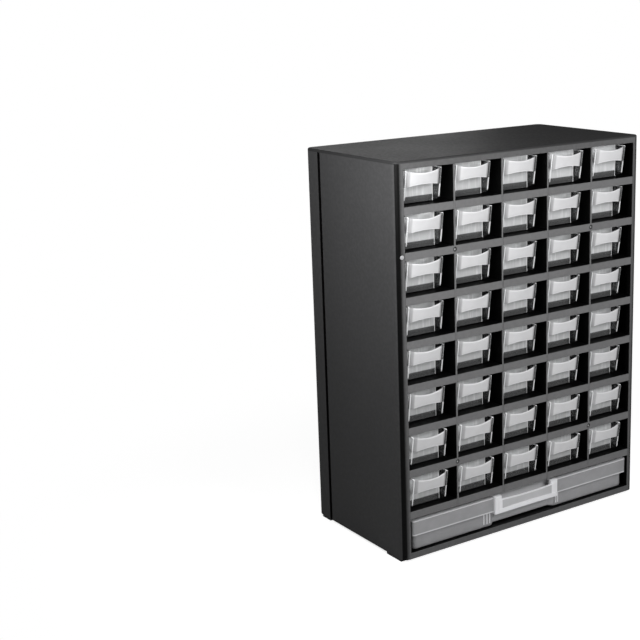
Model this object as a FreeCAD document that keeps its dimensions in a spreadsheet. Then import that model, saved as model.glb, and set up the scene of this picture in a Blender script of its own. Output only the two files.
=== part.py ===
import FreeCAD, Part
import math
import os
import Sketcher

# Parts bin cabinet: a black case with a rack of shelves and dividers,
# forty small clear drawers in eight rows of five, and one wide drawer below.
# Millimetres. X runs along the width, the front looks towards -Y, +Z is up.
# Pieces are drawn with the front face at y = 0, then placed with the origin on the ground
# in the middle of the footprint.

ROWS = 8
COLUMNS = 5
BACK_FIELDS = 3

# The driving dimensions, each written once: name, value, what it is.
DRIVING = (
    ("case_width", 300.0, "case, side to side"),
    ("case_depth", 154.0, "case, front face to back face"),
    ("side_wall", 2.4, "side walls of the case"),
    ("top_plate", 3.0, "top of the case"),
    ("bottom_plate", 2.6, "bottom of the case"),
    ("stile_width", 8.4, "front frame, each upright"),
    ("frame_depth", 6.0, "front frame and shelf bars, front to back"),
    ("top_rail", 7.3, "front frame, top rail with the case top"),
    ("bottom_rail", 5.9, "front frame, bottom rail"),
    ("front_corner_radius", 7.0, "upright front corners"),
    ("rear_corner_radius", 7.5, "upright rear corners"),
    ("inner_corner_radius", 2.0, "upright rear corners, inside the cover"),
    ("top_edge_radius", 1.6, "rounding of the top edges"),
    ("foot_height", 2.5, "feet under the case"),
    ("foot_inset", 0.6, "feet, in from the side faces"),
    ("foot_width", 16.0, "feet, side to side"),
    ("front_foot_length", 24.0, "front feet, front to back"),
    ("front_foot_setback", 6.0, "front feet, back from the front face"),
    ("small_opening", 34.2, "clear height of a small drawer's cell"),
    ("large_opening", 34.3, "clear height of the wide drawer's cell"),
    ("shelf_bar", 7.3, "height of a shelf's front bar"),
    ("shelf_panel", 1.8, "thickness of a shelf behind its bar"),
    ("divider_thickness", 1.5, "upright dividers"),
    ("fit", 0.15, "gap each side where fixed pieces slide together"),
    ("ledge_width", 2.6, "ledges on the side walls under the shelf ends"),
    ("ledge_height", 1.6, "the same ledges, their height"),
    ("guide_height", 2.2, "ribs under the case top that hold the dividers"),
    ("guide_thickness", 1.4, "the same ribs, their thickness"),
    ("cover_depth", 23.0, "rear cover, front to back"),
    ("cover_panel", 2.4, "back panel of the rear cover"),
    ("groove_width", 4.0, "open groove between case side and rear cover"),
    ("tongue_thickness", 2.0, "tongues of the rear cover inside the side walls"),
    ("tongue_overlap", 4.0, "how far the tongues reach into the case"),
    ("back_border", 15.0, "flat border round the sunk back panel"),
    ("back_sink", 0.8, "depth of the sunk back panel"),
    ("back_rib", 4.0, "upright stiffening bands on the back panel, their width"),
    ("keyhole_spacing", 180.0, "between the two wall keyholes"),
    ("keyhole_drop", 52.0, "keyhole slot end below the case top"),
    ("keyhole_head", 9.0, "round opening of a keyhole"),
    ("keyhole_slot", 4.6, "slot of a keyhole"),
    ("keyhole_rise", 9.0, "from the round opening up to the slot end"),
    ("post_radius", 3.5, "screw posts under the case top"),
    ("post_length", 11.0, "the same posts, front to back"),
    ("post_inset", 7.5, "screw posts, in from the side faces"),
    ("screw_radius", 1.5, "rear cover screws, shank"),
    ("screw_head_radius", 2.9, "rear cover screws, head"),
    ("screw_head_height", 1.5, "rear cover screws, cone of the head"),
    ("screw_length", 10.0, "rear cover screws, whole length"),
    ("drive_width", 0.8, "cross recess in the screw heads, its width"),
    ("drive_length", 3.2, "cross recess, its length"),
    ("drive_depth", 0.9, "cross recess, its depth"),
    ("pin_head_radius", 2.1, "rack pins, head"),
    ("pin_head_height", 0.8, "rack pins, thickness of the head"),
    ("pin_recess", 0.3, "rack pins, head below the front face"),
    ("pin_radius", 1.2, "rack pins, shank"),
    ("pin_length", 5.0, "rack pins, whole length"),
    ("pin_clearance", 0.2, "gap round the rack pins"),
    ("plug_edge_gap", 2.7, "stile plug, its middle from the stile's inner edge"),
    ("runner_height", 0.6, "runners that lift a small drawer off its shelf"),
    ("runner_width", 3.0, "runners, part under the drawer"),
    ("runner_lip", 3.0, "side lip of a runner above the runner"),
    ("runner_lip_thickness", 1.0, "side lip, thickness"),
    ("runner_setback", 18.0, "runners start this far behind the front face"),
    ("running_gap", 0.25, "gap under a drawer on its runners"),
    ("side_running_gap", 0.4, "gap between a drawer and a runner lip"),
    ("back_gap", 0.5, "gap behind a shut drawer"),
    ("drawer_width", 40.0, "small drawer, side to side"),
    ("drawer_height", 31.8, "small drawer, bottom to rim"),
    ("drawer_shift", 5.2, "small drawer, its middle left of the middle of its cell"),
    ("left_open", 3.0, "the most that a drawer stands open while the cabinet is at rest"),
    ("drawer_wall", 1.2, "small drawer, walls"),
    ("drawer_floor", 1.2, "small drawer, floor"),
    ("cheek_top", 0.6, "front edge of the cheeks at the rim, behind the front face"),
    ("cheek_foot", 2.6, "front edge of the cheeks at its lower end, behind the front face"),
    ("cheek_rise", 3.75, "the same lower end above the drawer's bottom"),
    ("finger_depth", 12.8, "small drawer, space between pull and front wall"),
    ("pull_height", 16.0, "small pull, height at its ends"),
    ("pull_dip", 3.0, "small pull, dip of its top edge"),
    ("pull_arch", 2.5, "small pull, rise of its bottom edge"),
    ("pull_bulge", 2.8, "small pull, forward curve in plan"),
    ("pull_thickness", 1.5, "small pull, thickness"),
    ("lug_height", 3.0, "stop lugs on the small drawers' rims, height"),
    ("wide_lug_height", 4.5, "stop lugs on the wide drawer's rims, height"),
    ("lug_length", 3.0, "stop lugs, front to back"),
    ("lug_setback", 22.0, "stop lugs, from the drawer's back"),
    ("stop_gap", 0.5, "left between a lug and the bar at full travel"),
    ("wide_side_gap", 2.6, "wide drawer, gap to each stile"),
    ("wide_height", 30.4, "wide drawer, bottom to rim"),
    ("wide_wall", 1.8, "wide drawer, walls"),
    ("wide_floor", 1.6, "wide drawer, floor"),
    ("wide_recess", 0.2, "wide drawer, upper band behind the front face"),
    ("band_height", 15.0, "wide drawer, height of the upper band"),
    ("band_step", 3.2, "wide drawer, lower front behind the upper band"),
    ("band_overhang", 2.6, "wide drawer, upper band beyond the tray sides"),
    ("wide_corner_radius", 5.0, "wide drawer, front corners of the tray"),
    ("band_corner_radius", 3.0, "wide drawer, front corners of the band"),
    ("bay_width", 82.0, "wide drawer, bay for the fingers"),
    ("bay_depth", 5.0, "wide drawer, bay behind the lower front"),
    ("post_width", 8.8, "wide pull, each end post"),
    ("wide_pull_height", 18.0, "wide pull, height of its end posts"),
    ("post_rise", 1.0, "wide pull, end posts above the rim"),
    ("plate_drop", 3.0, "wide pull, plate's ends below the tops of the posts"),
    ("wide_pull_forward", 2.8, "wide pull, end posts in front of the upper band"),
    ("wide_pull_bulge", 1.5, "wide pull, forward curve in plan"),
    ("wide_pull_dip", 1.0, "wide pull, dip of its top edge"),
    ("wide_pull_arch", 1.8, "wide pull, rise of its bottom edge"),
    ("wide_pull_thickness", 2.0, "wide pull, thickness"),
    ("lip_height", 5.0, "wide pull, thick band along its lower edge"),
    ("lip_forward", 1.2, "wide pull, thick band beyond the plate"),
    ("overrun", 1.0, "how far a cut reaches past what it cuts"),
)

# Rows and columns are counted from the top left, seen from the front.
PINNED_SHELVES = (2, 7)
PINNED_DIVIDERS = (1, 4)
PLUG_SHELF = 2

# The drawers that stand a little open, by row and column, each with its share of left_open.
OPEN_SHARES = {
    (1, 4): 1.0, (1, 5): 1.0,
    (2, 1): 0.6, (2, 2): 0.6,
    (7, 1): 0.9, (7, 2): 0.9, (7, 3): 0.4, (7, 4): 0.7, (7, 5): 1.0,
    (8, 1): 1.0, (8, 2): 1.0, (8, 3): 1.0, (8, 4): 1.0, (8, 5): 1.0,
}


class Size:
    """A size with its value and the formula that the document keeps for it."""

    def __init__(self, formula, value):
        self.formula = formula
        self.value = value

    def joined(self, sign, other, value):
        """The formula and value of this size and another, joined by a sign."""
        right = other.formula if isinstance(other, Size) else repr(other)
        return Size("(%s %s %s)" % (self.formula, sign, right), value)

    def __add__(self, other):
        return self.joined("+", other, self.value + number(other))

    def __sub__(self, other):
        return self.joined("-", other, self.value - number(other))

    def __mul__(self, other):
        return self.joined("*", other, self.value * number(other))

    def __truediv__(self, other):
        return self.joined("/", other, self.value / number(other))

    def __neg__(self):
        return Size("(0 - %s)" % self.formula, -self.value)

    def slope_angle(self, run):
        """The angle in degrees of this rise over a run."""
        formula = "atan(%s / %s)" % (self.formula, run.formula)
        return Size(formula, math.degrees(math.atan(self.value / run.value)))


def number(size):
    """The plain value of a size or number."""
    return size.value if isinstance(size, Size) else size


def chord_radius(chord, rise):
    """Radius of the arc that rises this much over this chord."""
    return (chord * chord / 4 + rise * rise) / (rise * 2)


class Dimensions:
    """The sheet of driving dimensions, read by name."""

    def __init__(self, doc):
        sheet = doc.addObject("Spreadsheet::Sheet", "dims")
        for row, (name, value, meaning) in enumerate(DRIVING, start=1):
            sheet.set("A%d" % row, name)
            sheet.set("B%d" % row, repr(value))
            sheet.set("C%d" % row, meaning)
            sheet.setAlias("B%d" % row, name)
        doc.recompute()
        for name, value, meaning in DRIVING:
            setattr(self, name, Size("dims." + name, float(sheet.get(name))))


doc = FreeCAD.newDocument("parts_bin_cabinet")
dims = Dimensions(doc)
zero = Size("0", 0.0)

# Levels and places that several pieces share.
floor_level = dims.foot_height
inner_floor = floor_level + dims.bottom_plate
wide_cell_floor = floor_level + dims.bottom_rail
lowest_shelf_top = wide_cell_floor + dims.large_opening + dims.shelf_bar
row_pitch = dims.small_opening + dims.shelf_bar
top_cell_ceiling = lowest_shelf_top + row_pitch * (ROWS - 1) + dims.small_opening
case_height = top_cell_ceiling + dims.top_rail
inner_ceiling = case_height - dims.top_plate
half_width = dims.case_width / 2
inner_half_width = half_width - dims.side_wall
half_opening = half_width - dims.stile_width
cell_pitch = half_opening * 2 / COLUMNS
cover_start = dims.case_depth - dims.cover_depth
side_end = cover_start - dims.groove_width
tongue_start = side_end - dims.tongue_overlap
rack_depth = tongue_start - dims.fit * 2
half_lap = rack_depth / 2
drawer_back = dims.case_depth - dims.cover_panel - dims.back_gap
drawer_lift = dims.runner_height + dims.running_gap
cheek_height = dims.drawer_height - dims.cheek_rise
front_wall = dims.cheek_top + dims.finger_depth
wide_pull_reach = dims.wide_pull_forward - dims.wide_recess + dims.wide_pull_bulge + dims.lip_forward
footprint_shift = (wide_pull_reach - dims.case_depth) / 2


def shelf_top(shelf):
    """Level of a shelf's top, counted from 1 at the top."""
    return lowest_shelf_top + row_pitch * (ROWS - shelf)


def divider_place(divider):
    """Middle of a divider, counted from 1 at the left."""
    return cell_pitch * divider - half_opening


def column_place(column):
    """Middle of a column of drawers, counted from 1 at the left."""
    return cell_pitch * (column - 0.5) - half_opening


def drawer_place(column):
    """Middle of the small drawers in a column."""
    return column_place(column) - dims.drawer_shift


screw_level = inner_ceiling - dims.post_radius
plug_x = -half_opening - dims.plug_edge_gap
plug_z = shelf_top(PLUG_SHELF) - dims.shelf_bar / 2


def bind(thing, prop, size):
    """Tie a property to a size's formula."""
    thing.setExpression(prop, size.formula)


def place(thing, x, y, z):
    """Tie where a piece stands to its formulas."""
    bind(thing, ".Placement.Base.x", x)
    bind(thing, ".Placement.Base.y", y)
    bind(thing, ".Placement.Base.z", z)


def new_body(name):
    """An empty body that will hold one piece."""
    body = doc.addObject("PartDesign::Body", name)
    body.Label = name
    return body


def origin_part(body, role):
    """A plane or axis of the body's own origin."""
    return next(part for part in body.Origin.OriginFeatures if part.Role == role)


def block(body, kind, name, x, y, z):
    """A box that adds to or cuts from a body, between pairs of places."""
    box = body.newObject("PartDesign::%sBox" % kind, name)
    for prop, ends in (("Length", x), ("Width", y), ("Height", z)):
        bind(box, prop, ends[1] - ends[0])
    place(box, x[0], y[0], z[0])
    return box


def add_block(body, name, x, y, z):
    return block(body, "Additive", name, x, y, z)


def cut_block(body, name, x, y, z):
    return block(body, "Subtractive", name, x, y, z)


def rod(body, kind, name, radius, x, z, y):
    """A round rod along Y that adds to or cuts from a body."""
    cylinder = body.newObject("PartDesign::%sCylinder" % kind, name)
    cylinder.Placement.Rotation = FreeCAD.Rotation(FreeCAD.Vector(1, 0, 0), -90)
    bind(cylinder, "Radius", radius)
    bind(cylinder, "Height", y[1] - y[0])
    place(cylinder, x, y[0], z)
    return cylinder


def outline(body, name, role, corners, arcs=None):
    """A closed sketch on an origin plane: corners tied to formulas, some sides arcs.

    arcs gives, for a side's number, its radius and which way it bulges (1 left, -1 right).
    """
    sketch = body.newObject("Sketcher::SketchObject", name)
    sketch.AttachmentSupport = (origin_part(body, role), [""])
    sketch.MapMode = "FlatFace"
    points = [FreeCAD.Vector(number(x), number(y), 0) for x, y in corners]
    count = len(points)
    for side in range(count):
        start = points[side]
        end = points[(side + 1) % count]
        if arcs and side in arcs:
            radius, bulge = arcs[side]
            add_arc(sketch, start, end, number(radius), bulge)
        else:
            sketch.addGeometry(Part.LineSegment(start, end), False)
    for side in range(count):
        ends = joint_ends(sketch, side, points)
        after = (side + 1) % count
        starts = joint_ends(sketch, after, points)
        sketch.addConstraint(Sketcher.Constraint("Coincident", side, ends[1], after, starts[0]))
    for side, (x, y) in enumerate(corners):
        start = joint_ends(sketch, side, points)[0]
        for kind, size in (("DistanceX", x), ("DistanceY", y)):
            mark = Sketcher.Constraint(kind, -1, 1, side, start, number(size))
            bind(sketch, "Constraints[%d]" % sketch.addConstraint(mark), size)
    for side, (radius, bulge) in (arcs or {}).items():
        mark = Sketcher.Constraint("Radius", side, number(radius))
        bind(sketch, "Constraints[%d]" % sketch.addConstraint(mark), radius)
    return sketch


def add_arc(sketch, start, end, radius, bulge):
    """An arc from start to end that bulges to the left or right of that way."""
    middle = (start + end) * 0.5
    along = end - start
    half = along.Length / 2
    side = FreeCAD.Vector(-along.y, along.x, 0).normalize() * bulge
    rise = radius - math.sqrt(radius * radius - half * half)
    sketch.addGeometry(Part.Arc(start, middle + side * rise, end), False)


def joint_ends(sketch, side, points):
    """Which point numbers of a side are its first and last corner."""
    first = points[side]
    if sketch.getPoint(side, 1).distanceToPoint(first) < sketch.getPoint(side, 2).distanceToPoint(first):
        return 1, 2
    return 2, 1


def pad(body, sketch, length, middle=False, back=False):
    """Raise a sketch by a length, both ways from its plane or one way."""
    raised = body.newObject("PartDesign::Pad", sketch.Name + "_pad")
    raised.Profile = sketch
    bind(raised, "Length", length)
    raised.Midplane = middle
    raised.Reversed = back
    return raised


def pocket(body, sketch, length, back=False):
    """Cut a sketch into a body."""
    cut = body.newObject("PartDesign::Pocket", sketch.Name + "_cut")
    cut.Profile = sketch
    bind(cut, "Length", length)
    cut.Reversed = back
    return cut


def row_of(body, name, features, count, length, role="X_Axis"):
    """Repeat features in a straight row along one of the body's axes."""
    pattern = body.newObject("PartDesign::LinearPattern", name)
    pattern.Originals = features
    pattern.Direction = (origin_part(body, role), [""])
    bind(pattern, "Length", length)
    pattern.Occurrences = count
    body.Tip = pattern
    return pattern


def rounded(body, name, radius, wanted):
    """Round the edges of the body so far that a test picks."""
    doc.recompute()
    base = body.Tip
    names = ["Edge%d" % n for n, edge in enumerate(base.Shape.Edges, start=1) if wanted(edge)]
    fillet = body.newObject("PartDesign::Fillet", name)
    fillet.Base = (base, names)
    bind(fillet, "Radius", radius)
    return fillet


def near(value, size):
    """True where a coordinate lies at a named place."""
    return abs(value - number(size)) < number(dims.fit) / 2


def is_upright_at(edge, x, y):
    """True for a vertical edge at a distance x from the middle and at y."""
    box = edge.BoundBox
    upright = box.XLength < number(dims.fit) and box.YLength < number(dims.fit)
    return upright and near(abs(box.Center.x), x) and near(box.Center.y, y)


def make_case_shell():
    """Top, bottom, sides and front frame in one moulding, open at the back."""
    body = new_body("case_shell")
    ground = (floor_level, case_height)
    add_block(body, "case_block", (-half_width, half_width), (zero, side_end), ground)
    rounded(body, "front_corners", dims.front_corner_radius,
            lambda edge: is_upright_at(edge, half_width, zero))
    add_block(body, "roof_tail", (-half_width, half_width),
              (side_end, dims.case_depth), (inner_ceiling, case_height))
    rounded(body, "roof_corners", dims.rear_corner_radius,
            lambda edge: is_upright_at(edge, half_width, dims.case_depth))
    rounded(body, "top_edges", dims.top_edge_radius,
            lambda edge: near(edge.BoundBox.ZMin, case_height))
    cut_block(body, "inside", (-inner_half_width, inner_half_width),
              (dims.frame_depth, side_end + dims.overrun), (inner_floor, inner_ceiling))
    cut_block(body, "front_window", (-half_opening, half_opening),
              (-dims.overrun, dims.frame_depth + dims.overrun), (wide_cell_floor, top_cell_ceiling))
    add_shelf_ledges(body)
    add_divider_guides(body)
    add_wide_runners(body)
    add_screw_posts(body)
    add_front_feet(body)
    add_plug_hole(body)
    place(body, zero, footprint_shift, zero)
    return body


def add_shelf_ledges(body):
    """A ledge on each side wall under every shelf end."""
    top = lowest_shelf_top - dims.shelf_panel
    y = (dims.frame_depth, tongue_start - dims.ledge_width)
    inner = inner_half_width - dims.ledge_width
    for name, x in (("right", (inner, inner_half_width)), ("left", (-inner_half_width, -inner))):
        ledge = add_block(body, "ledge_" + name, x, y, (top - dims.ledge_height, top))
        row_of(body, "ledges_" + name, [ledge], ROWS, row_pitch * (ROWS - 1), "Z_Axis")


def add_divider_guides(body):
    """Two ribs under the top plate on each side of every divider."""
    first = divider_place(1)
    gap = dims.divider_thickness / 2 + dims.fit
    ribs = []
    for name, edge in (("guide_left", first - gap - dims.guide_thickness), ("guide_right", first + gap)):
        ribs.append(add_block(body, name, (edge, edge + dims.guide_thickness),
                              (dims.frame_depth, rack_depth),
                              (inner_ceiling - dims.guide_height, inner_ceiling)))
    row_of(body, "guides", ribs, COLUMNS - 1, cell_pitch * (COLUMNS - 2))


def runner_blocks(body, half_drawer, middle, level, start, end):
    """An L-shaped runner on each side of a drawer: it stands on the base and beside the lip."""
    made = []
    inner = half_drawer - dims.runner_width
    outer = half_drawer + dims.side_running_gap
    far = outer + dims.runner_lip_thickness
    for side, name in ((1, "right"), (-1, "left")):
        for part, low, high, top in (
                ("base", inner, far, dims.runner_height),
                ("lip", outer, far, dims.runner_height + dims.runner_lip)):
            ends = (middle + low, middle + high) if side > 0 else (middle - high, middle - low)
            made.append(add_block(body, "runner_%s_%s" % (part, name), ends,
                                  (start, end), (level, level + top)))
    return made


def add_wide_runners(body):
    """Runners for the wide drawer on the bottom plate."""
    half_tray = half_opening - dims.wide_side_gap - dims.band_overhang
    inner = half_tray - dims.runner_width
    outer = half_tray + dims.side_running_gap
    far = outer + dims.runner_lip_thickness
    ends = (dims.frame_depth, rack_depth)
    top = wide_cell_floor + dims.runner_height
    for name, low, high, level in (("bed", inner, far, top), ("fence", outer, far, top + dims.runner_lip)):
        add_block(body, "wide_%s_right" % name, (low, high), ends, (inner_floor, level))
        add_block(body, "wide_%s_left" % name, (-high, -low), ends, (inner_floor, level))


def add_screw_posts(body):
    """Two posts under the top plate for the screws of the rear cover."""
    x = half_width - dims.post_inset
    z = screw_level
    end = dims.case_depth - dims.cover_panel - dims.fit
    for name, side in (("right", x), ("left", -x)):
        add_block(body, "post_web_" + name, (side - dims.post_radius, side + dims.post_radius),
                  (end - dims.post_length, end), (z, inner_ceiling))
        rod(body, "Additive", "post_" + name, dims.post_radius, side, z, (end - dims.post_length, end))
        rod(body, "Subtractive", "post_bore_" + name, dims.screw_radius, side, z,
            (end - dims.post_length + dims.overrun, end + dims.overrun))


def add_front_feet(body):
    """Two pads under the front corners."""
    outer = half_width - dims.foot_inset
    y = (dims.front_foot_setback, dims.front_foot_setback + dims.front_foot_length)
    add_block(body, "foot_right", (outer - dims.foot_width, outer), y, (zero, inner_floor))
    add_block(body, "foot_left", (-outer, dims.foot_width - outer), y, (zero, inner_floor))


def pin_bore(body, name, x, z):
    """Cut the stepped hole for a rack pin or the plug."""
    head = dims.pin_head_radius + dims.pin_clearance
    step = dims.pin_recess + dims.pin_head_height
    rod(body, "Subtractive", name + "_seat", head, x, z, (-dims.overrun, step))
    rod(body, "Subtractive", name + "_bore", dims.pin_radius + dims.pin_clearance / 2, x, z,
        (zero, dims.pin_recess + dims.pin_length + dims.pin_clearance))


def add_plug_hole(body):
    """The hole for the light plug in the left stile."""
    pin_bore(body, "plug", plug_x, plug_z)


def make_rear_cover():
    """Back panel with its side and bottom returns, tongues, rear feet and wall keyholes."""
    body = new_body("rear_cover")
    top = inner_ceiling - dims.fit
    back = dims.case_depth
    add_block(body, "cover_block", (-half_width, half_width), (cover_start, back), (floor_level, top))
    rounded(body, "rear_corners", dims.rear_corner_radius,
            lambda edge: is_upright_at(edge, half_width, back))
    cut_block(body, "cover_inside", (-inner_half_width, inner_half_width),
              (cover_start - dims.overrun, back - dims.cover_panel), (inner_floor, top + dims.overrun))
    rounded(body, "inner_corners", dims.inner_corner_radius,
            lambda edge: is_upright_at(edge, inner_half_width, back - dims.cover_panel))
    add_tongues(body, top)
    add_rear_feet(body)
    sink_back_panel(body, top)
    cut_keyholes(body)
    cut_screw_seats(body)
    place(body, zero, footprint_shift, zero)
    return body


def add_tongues(body, top):
    """Strips that slide inside the side walls and over the bottom plate."""
    outer = inner_half_width - dims.fit
    inner = outer - dims.tongue_thickness
    low = inner_floor + dims.fit
    y = (tongue_start, cover_start + dims.groove_width)
    root = (cover_start, cover_start + dims.groove_width)
    for name, side in (("right", 1), ("left", -1)):
        strip = (inner, outer) if side > 0 else (-outer, -inner)
        web = (inner, inner_half_width) if side > 0 else (-inner_half_width, -inner)
        add_block(body, "tongue_" + name, strip, y, (low, top))
        add_block(body, "tongue_root_" + name, web, root, (low, top))
    half_lip = inner - dims.post_inset
    add_block(body, "bottom_tongue", (-half_lip, half_lip), y, (low, low + dims.tongue_thickness))
    add_block(body, "bottom_root", (-half_lip, half_lip), root, (inner_floor, low + dims.tongue_thickness))


def add_rear_feet(body):
    """Two pads under the rear corners."""
    outer = half_width - dims.foot_inset
    y = (cover_start + dims.foot_inset, dims.case_depth - dims.rear_corner_radius)
    add_block(body, "rear_foot_right", (outer - dims.foot_width, outer), y, (zero, inner_floor))
    add_block(body, "rear_foot_left", (-outer, dims.foot_width - outer), y, (zero, inner_floor))


def sink_back_panel(body, top):
    """Sunk fields on the outside of the back, with bands left between them."""
    left = -half_width + dims.back_border
    field = (dims.case_width - dims.back_border * 2 - dims.back_rib * (BACK_FIELDS - 1)) / BACK_FIELDS
    sunk = cut_block(body, "sunk_field", (left, left + field),
                     (dims.case_depth - dims.back_sink, dims.case_depth + dims.overrun),
                     (floor_level + dims.back_border, top - dims.back_border * 2))
    row_of(body, "sunk_fields", [sunk], BACK_FIELDS, (field + dims.back_rib) * (BACK_FIELDS - 1))


def cut_keyholes(body):
    """Two keyholes for hanging the cabinet on wall screws."""
    slot_end = case_height - dims.keyhole_drop
    y = (dims.case_depth - dims.cover_panel - dims.overrun, dims.case_depth + dims.overrun)
    for name, side in (("right", 1), ("left", -1)):
        x = dims.keyhole_spacing / 2 * side
        half = dims.keyhole_slot / 2
        rod(body, "Subtractive", "keyhole_head_" + name, dims.keyhole_head / 2, x,
            slot_end - dims.keyhole_rise, y)
        rod(body, "Subtractive", "keyhole_end_" + name, half, x, slot_end, y)
        cut_block(body, "keyhole_slot_" + name, (x - half, x + half), y,
                  (slot_end - dims.keyhole_rise, slot_end))


def revolve(body, sketch):
    """Turn a half section round the Y axis."""
    turned = body.newObject("PartDesign::Revolution", sketch.Name + "_turned")
    turned.Profile = sketch
    turned.ReferenceAxis = (sketch, ["V_Axis"])
    turned.Angle = 360.0
    return turned


def cut_screw_seats(body):
    """Holes and countersinks for the two cover screws."""
    x = half_width - dims.post_inset
    back = dims.case_depth
    for name, side in (("right", x), ("left", -x)):
        rod(body, "Subtractive", "screw_hole_" + name, dims.screw_radius + dims.fit, side, screw_level,
            (back - dims.cover_panel - dims.overrun, back + dims.overrun))
        cone = body.newObject("PartDesign::SubtractiveCone", "countersink_" + name)
        cone.Placement.Rotation = FreeCAD.Rotation(FreeCAD.Vector(1, 0, 0), -90)
        bind(cone, "Radius1", dims.screw_radius + dims.fit)
        bind(cone, "Radius2", dims.screw_head_radius + dims.fit)
        bind(cone, "Height", dims.screw_head_height)
        place(cone, side, back - dims.screw_head_height, screw_level)


def make_shelf(shelf):
    """A full-width shelf: front bar, panel, drawer runners and slots for the dividers."""
    body = new_body("shelf_%d" % shelf)
    bar_half = half_opening - dims.fit
    wide_half = inner_half_width - dims.fit
    behind = dims.frame_depth + dims.fit
    corners = ((-bar_half, zero), (bar_half, zero), (bar_half, behind), (wide_half, behind),
               (wide_half, rack_depth), (-wide_half, rack_depth), (-wide_half, behind), (-bar_half, behind))
    plate = outline(body, "shelf_%d_plan" % shelf, "XY_Plane", corners)
    pad(body, plate, dims.shelf_panel, back=True)
    add_block(body, "bar", (-bar_half, bar_half), (zero, dims.frame_depth), (-dims.shelf_bar, zero))
    runners = runner_blocks(body, dims.drawer_width / 2, drawer_place(1), zero,
                            dims.runner_setback, rack_depth)
    row_of(body, "runners", runners, COLUMNS, cell_pitch * (COLUMNS - 1))
    half_slot = dims.divider_thickness / 2 + dims.fit
    first = divider_place(1)
    slot = cut_block(body, "slot", (first - half_slot, first + half_slot), (-dims.overrun, half_lap),
                     (-dims.shelf_bar - dims.overrun, dims.overrun))
    row_of(body, "slots", [slot], COLUMNS - 1, cell_pitch * (COLUMNS - 2))
    if shelf in PINNED_SHELVES:
        for divider in PINNED_DIVIDERS:
            pin_bore(body, "pin_%d" % divider, divider_place(divider), -dims.shelf_bar / 2)
    place(body, zero, footprint_shift, shelf_top(shelf))
    return body


def make_divider(divider):
    """An upright divider, slotted from behind for the shelves."""
    body = new_body("divider_%d" % divider)
    behind = dims.frame_depth + dims.fit
    low = zero - dims.shelf_bar
    ceiling = inner_ceiling - lowest_shelf_top - dims.fit
    lintel = top_cell_ceiling - lowest_shelf_top - dims.fit
    corners = ((zero, low), (dims.frame_depth, low), (dims.frame_depth, -dims.shelf_panel),
               (rack_depth, -dims.shelf_panel), (rack_depth, ceiling), (behind, ceiling),
               (behind, lintel), (zero, lintel))
    side = outline(body, "divider_%d_side" % divider, "YZ_Plane", corners)
    pad(body, side, dims.divider_thickness, middle=True)
    half = dims.divider_thickness
    slot = cut_block(body, "slot", (-half, half), (half_lap, rack_depth + dims.overrun),
                     (-dims.shelf_panel - dims.fit, dims.fit))
    row_of(body, "slots", [slot], ROWS, row_pitch * (ROWS - 1), "Z_Axis")
    if divider in PINNED_DIVIDERS:
        for shelf in PINNED_SHELVES:
            pin_bore(body, "pin_%d" % shelf, zero, shelf_top(shelf) - lowest_shelf_top - dims.shelf_bar / 2)
    place(body, divider_place(divider), footprint_shift, lowest_shelf_top)
    return body


def make_pin(name):
    """A round-headed push pin along Y, its head at the front."""
    body = new_body(name)
    front = dims.pin_recess
    neck = front + dims.pin_head_height
    end = front + dims.pin_length
    corners = ((zero, front), (dims.pin_head_radius, front), (dims.pin_head_radius, neck),
               (dims.pin_radius, neck), (dims.pin_radius, end), (zero, end))
    revolve(body, outline(body, name + "_section", "XY_Plane", corners))
    return body


def group(name, pieces):
    """One node that holds its pieces as separate solids."""
    node = doc.addObject("Part::Compound", name)
    node.Label = name
    node.Links = pieces
    place(node, zero, footprint_shift, zero)
    return node


def make_rack_pins():
    """Four pins where the pinned shelves and dividers cross."""
    pins = []
    for shelf in PINNED_SHELVES:
        for divider in PINNED_DIVIDERS:
            pin = make_pin("pin_s%dd%d" % (shelf, divider))
            place(pin, divider_place(divider), zero, shelf_top(shelf) - dims.shelf_bar / 2)
            pins.append(pin)
    return group("rack_pins", pins)


def make_cover_screw(name, x):
    """A countersunk screw with a cross recess."""
    body = new_body(name)
    shank = dims.screw_radius - dims.fit
    corners = ((zero, zero), (zero, -dims.screw_length), (shank, -dims.screw_length),
               (shank, -dims.screw_head_height), (dims.screw_head_radius, zero))
    revolve(body, outline(body, name + "_section", "XY_Plane", corners))
    deep = (-dims.drive_depth, dims.overrun)
    long_half = dims.drive_length / 2
    thin_half = dims.drive_width / 2
    cut_block(body, name + "_drive", (-long_half, long_half), deep, (-thin_half, thin_half))
    cut_block(body, name + "_cross", (-thin_half, thin_half), deep, (-long_half, long_half))
    place(body, x, dims.case_depth, screw_level)
    return body


def make_cover_screws():
    """The two screws that hold the rear cover."""
    x = half_width - dims.post_inset
    return group("cover_screws", [make_cover_screw("screw_right", x), make_cover_screw("screw_left", -x)])


def make_pull_plate(name, width, height, bulge, thickness, dip, arch):
    """A bow-tie plate that curves forward: its foot is at z = 0, its ends at y = 0."""
    body = new_body(name)
    curved_pad(body, name + "_plan", width, bulge, bulge, thickness, height)
    y = (-bulge - dims.overrun, thickness + dims.overrun)
    top_radius = chord_radius(width, dip)
    rod(body, "Subtractive", name + "_dip", top_radius, zero, height - dip + top_radius, y)
    cut_arch(body, name + "_arch", width, arch, y)
    return body


def curved_pad(body, name, width, front_bulge, back_bulge, thickness, height):
    """A strip across the middle whose front and back faces curve forward in plan."""
    half = width / 2
    corners = ((-half, zero), (half, zero), (half, thickness), (-half, thickness))
    arcs = {0: (chord_radius(width, front_bulge), -1), 2: (chord_radius(width, back_bulge), 1)}
    pad(body, outline(body, name, "XY_Plane", corners, arcs), height)


def cut_arch(body, name, width, arch, y):
    """Cut the foot of a strip so that its middle is raised."""
    radius = chord_radius(width, arch)
    rod(body, "Subtractive", name, radius, zero, arch - radius, y)


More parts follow.
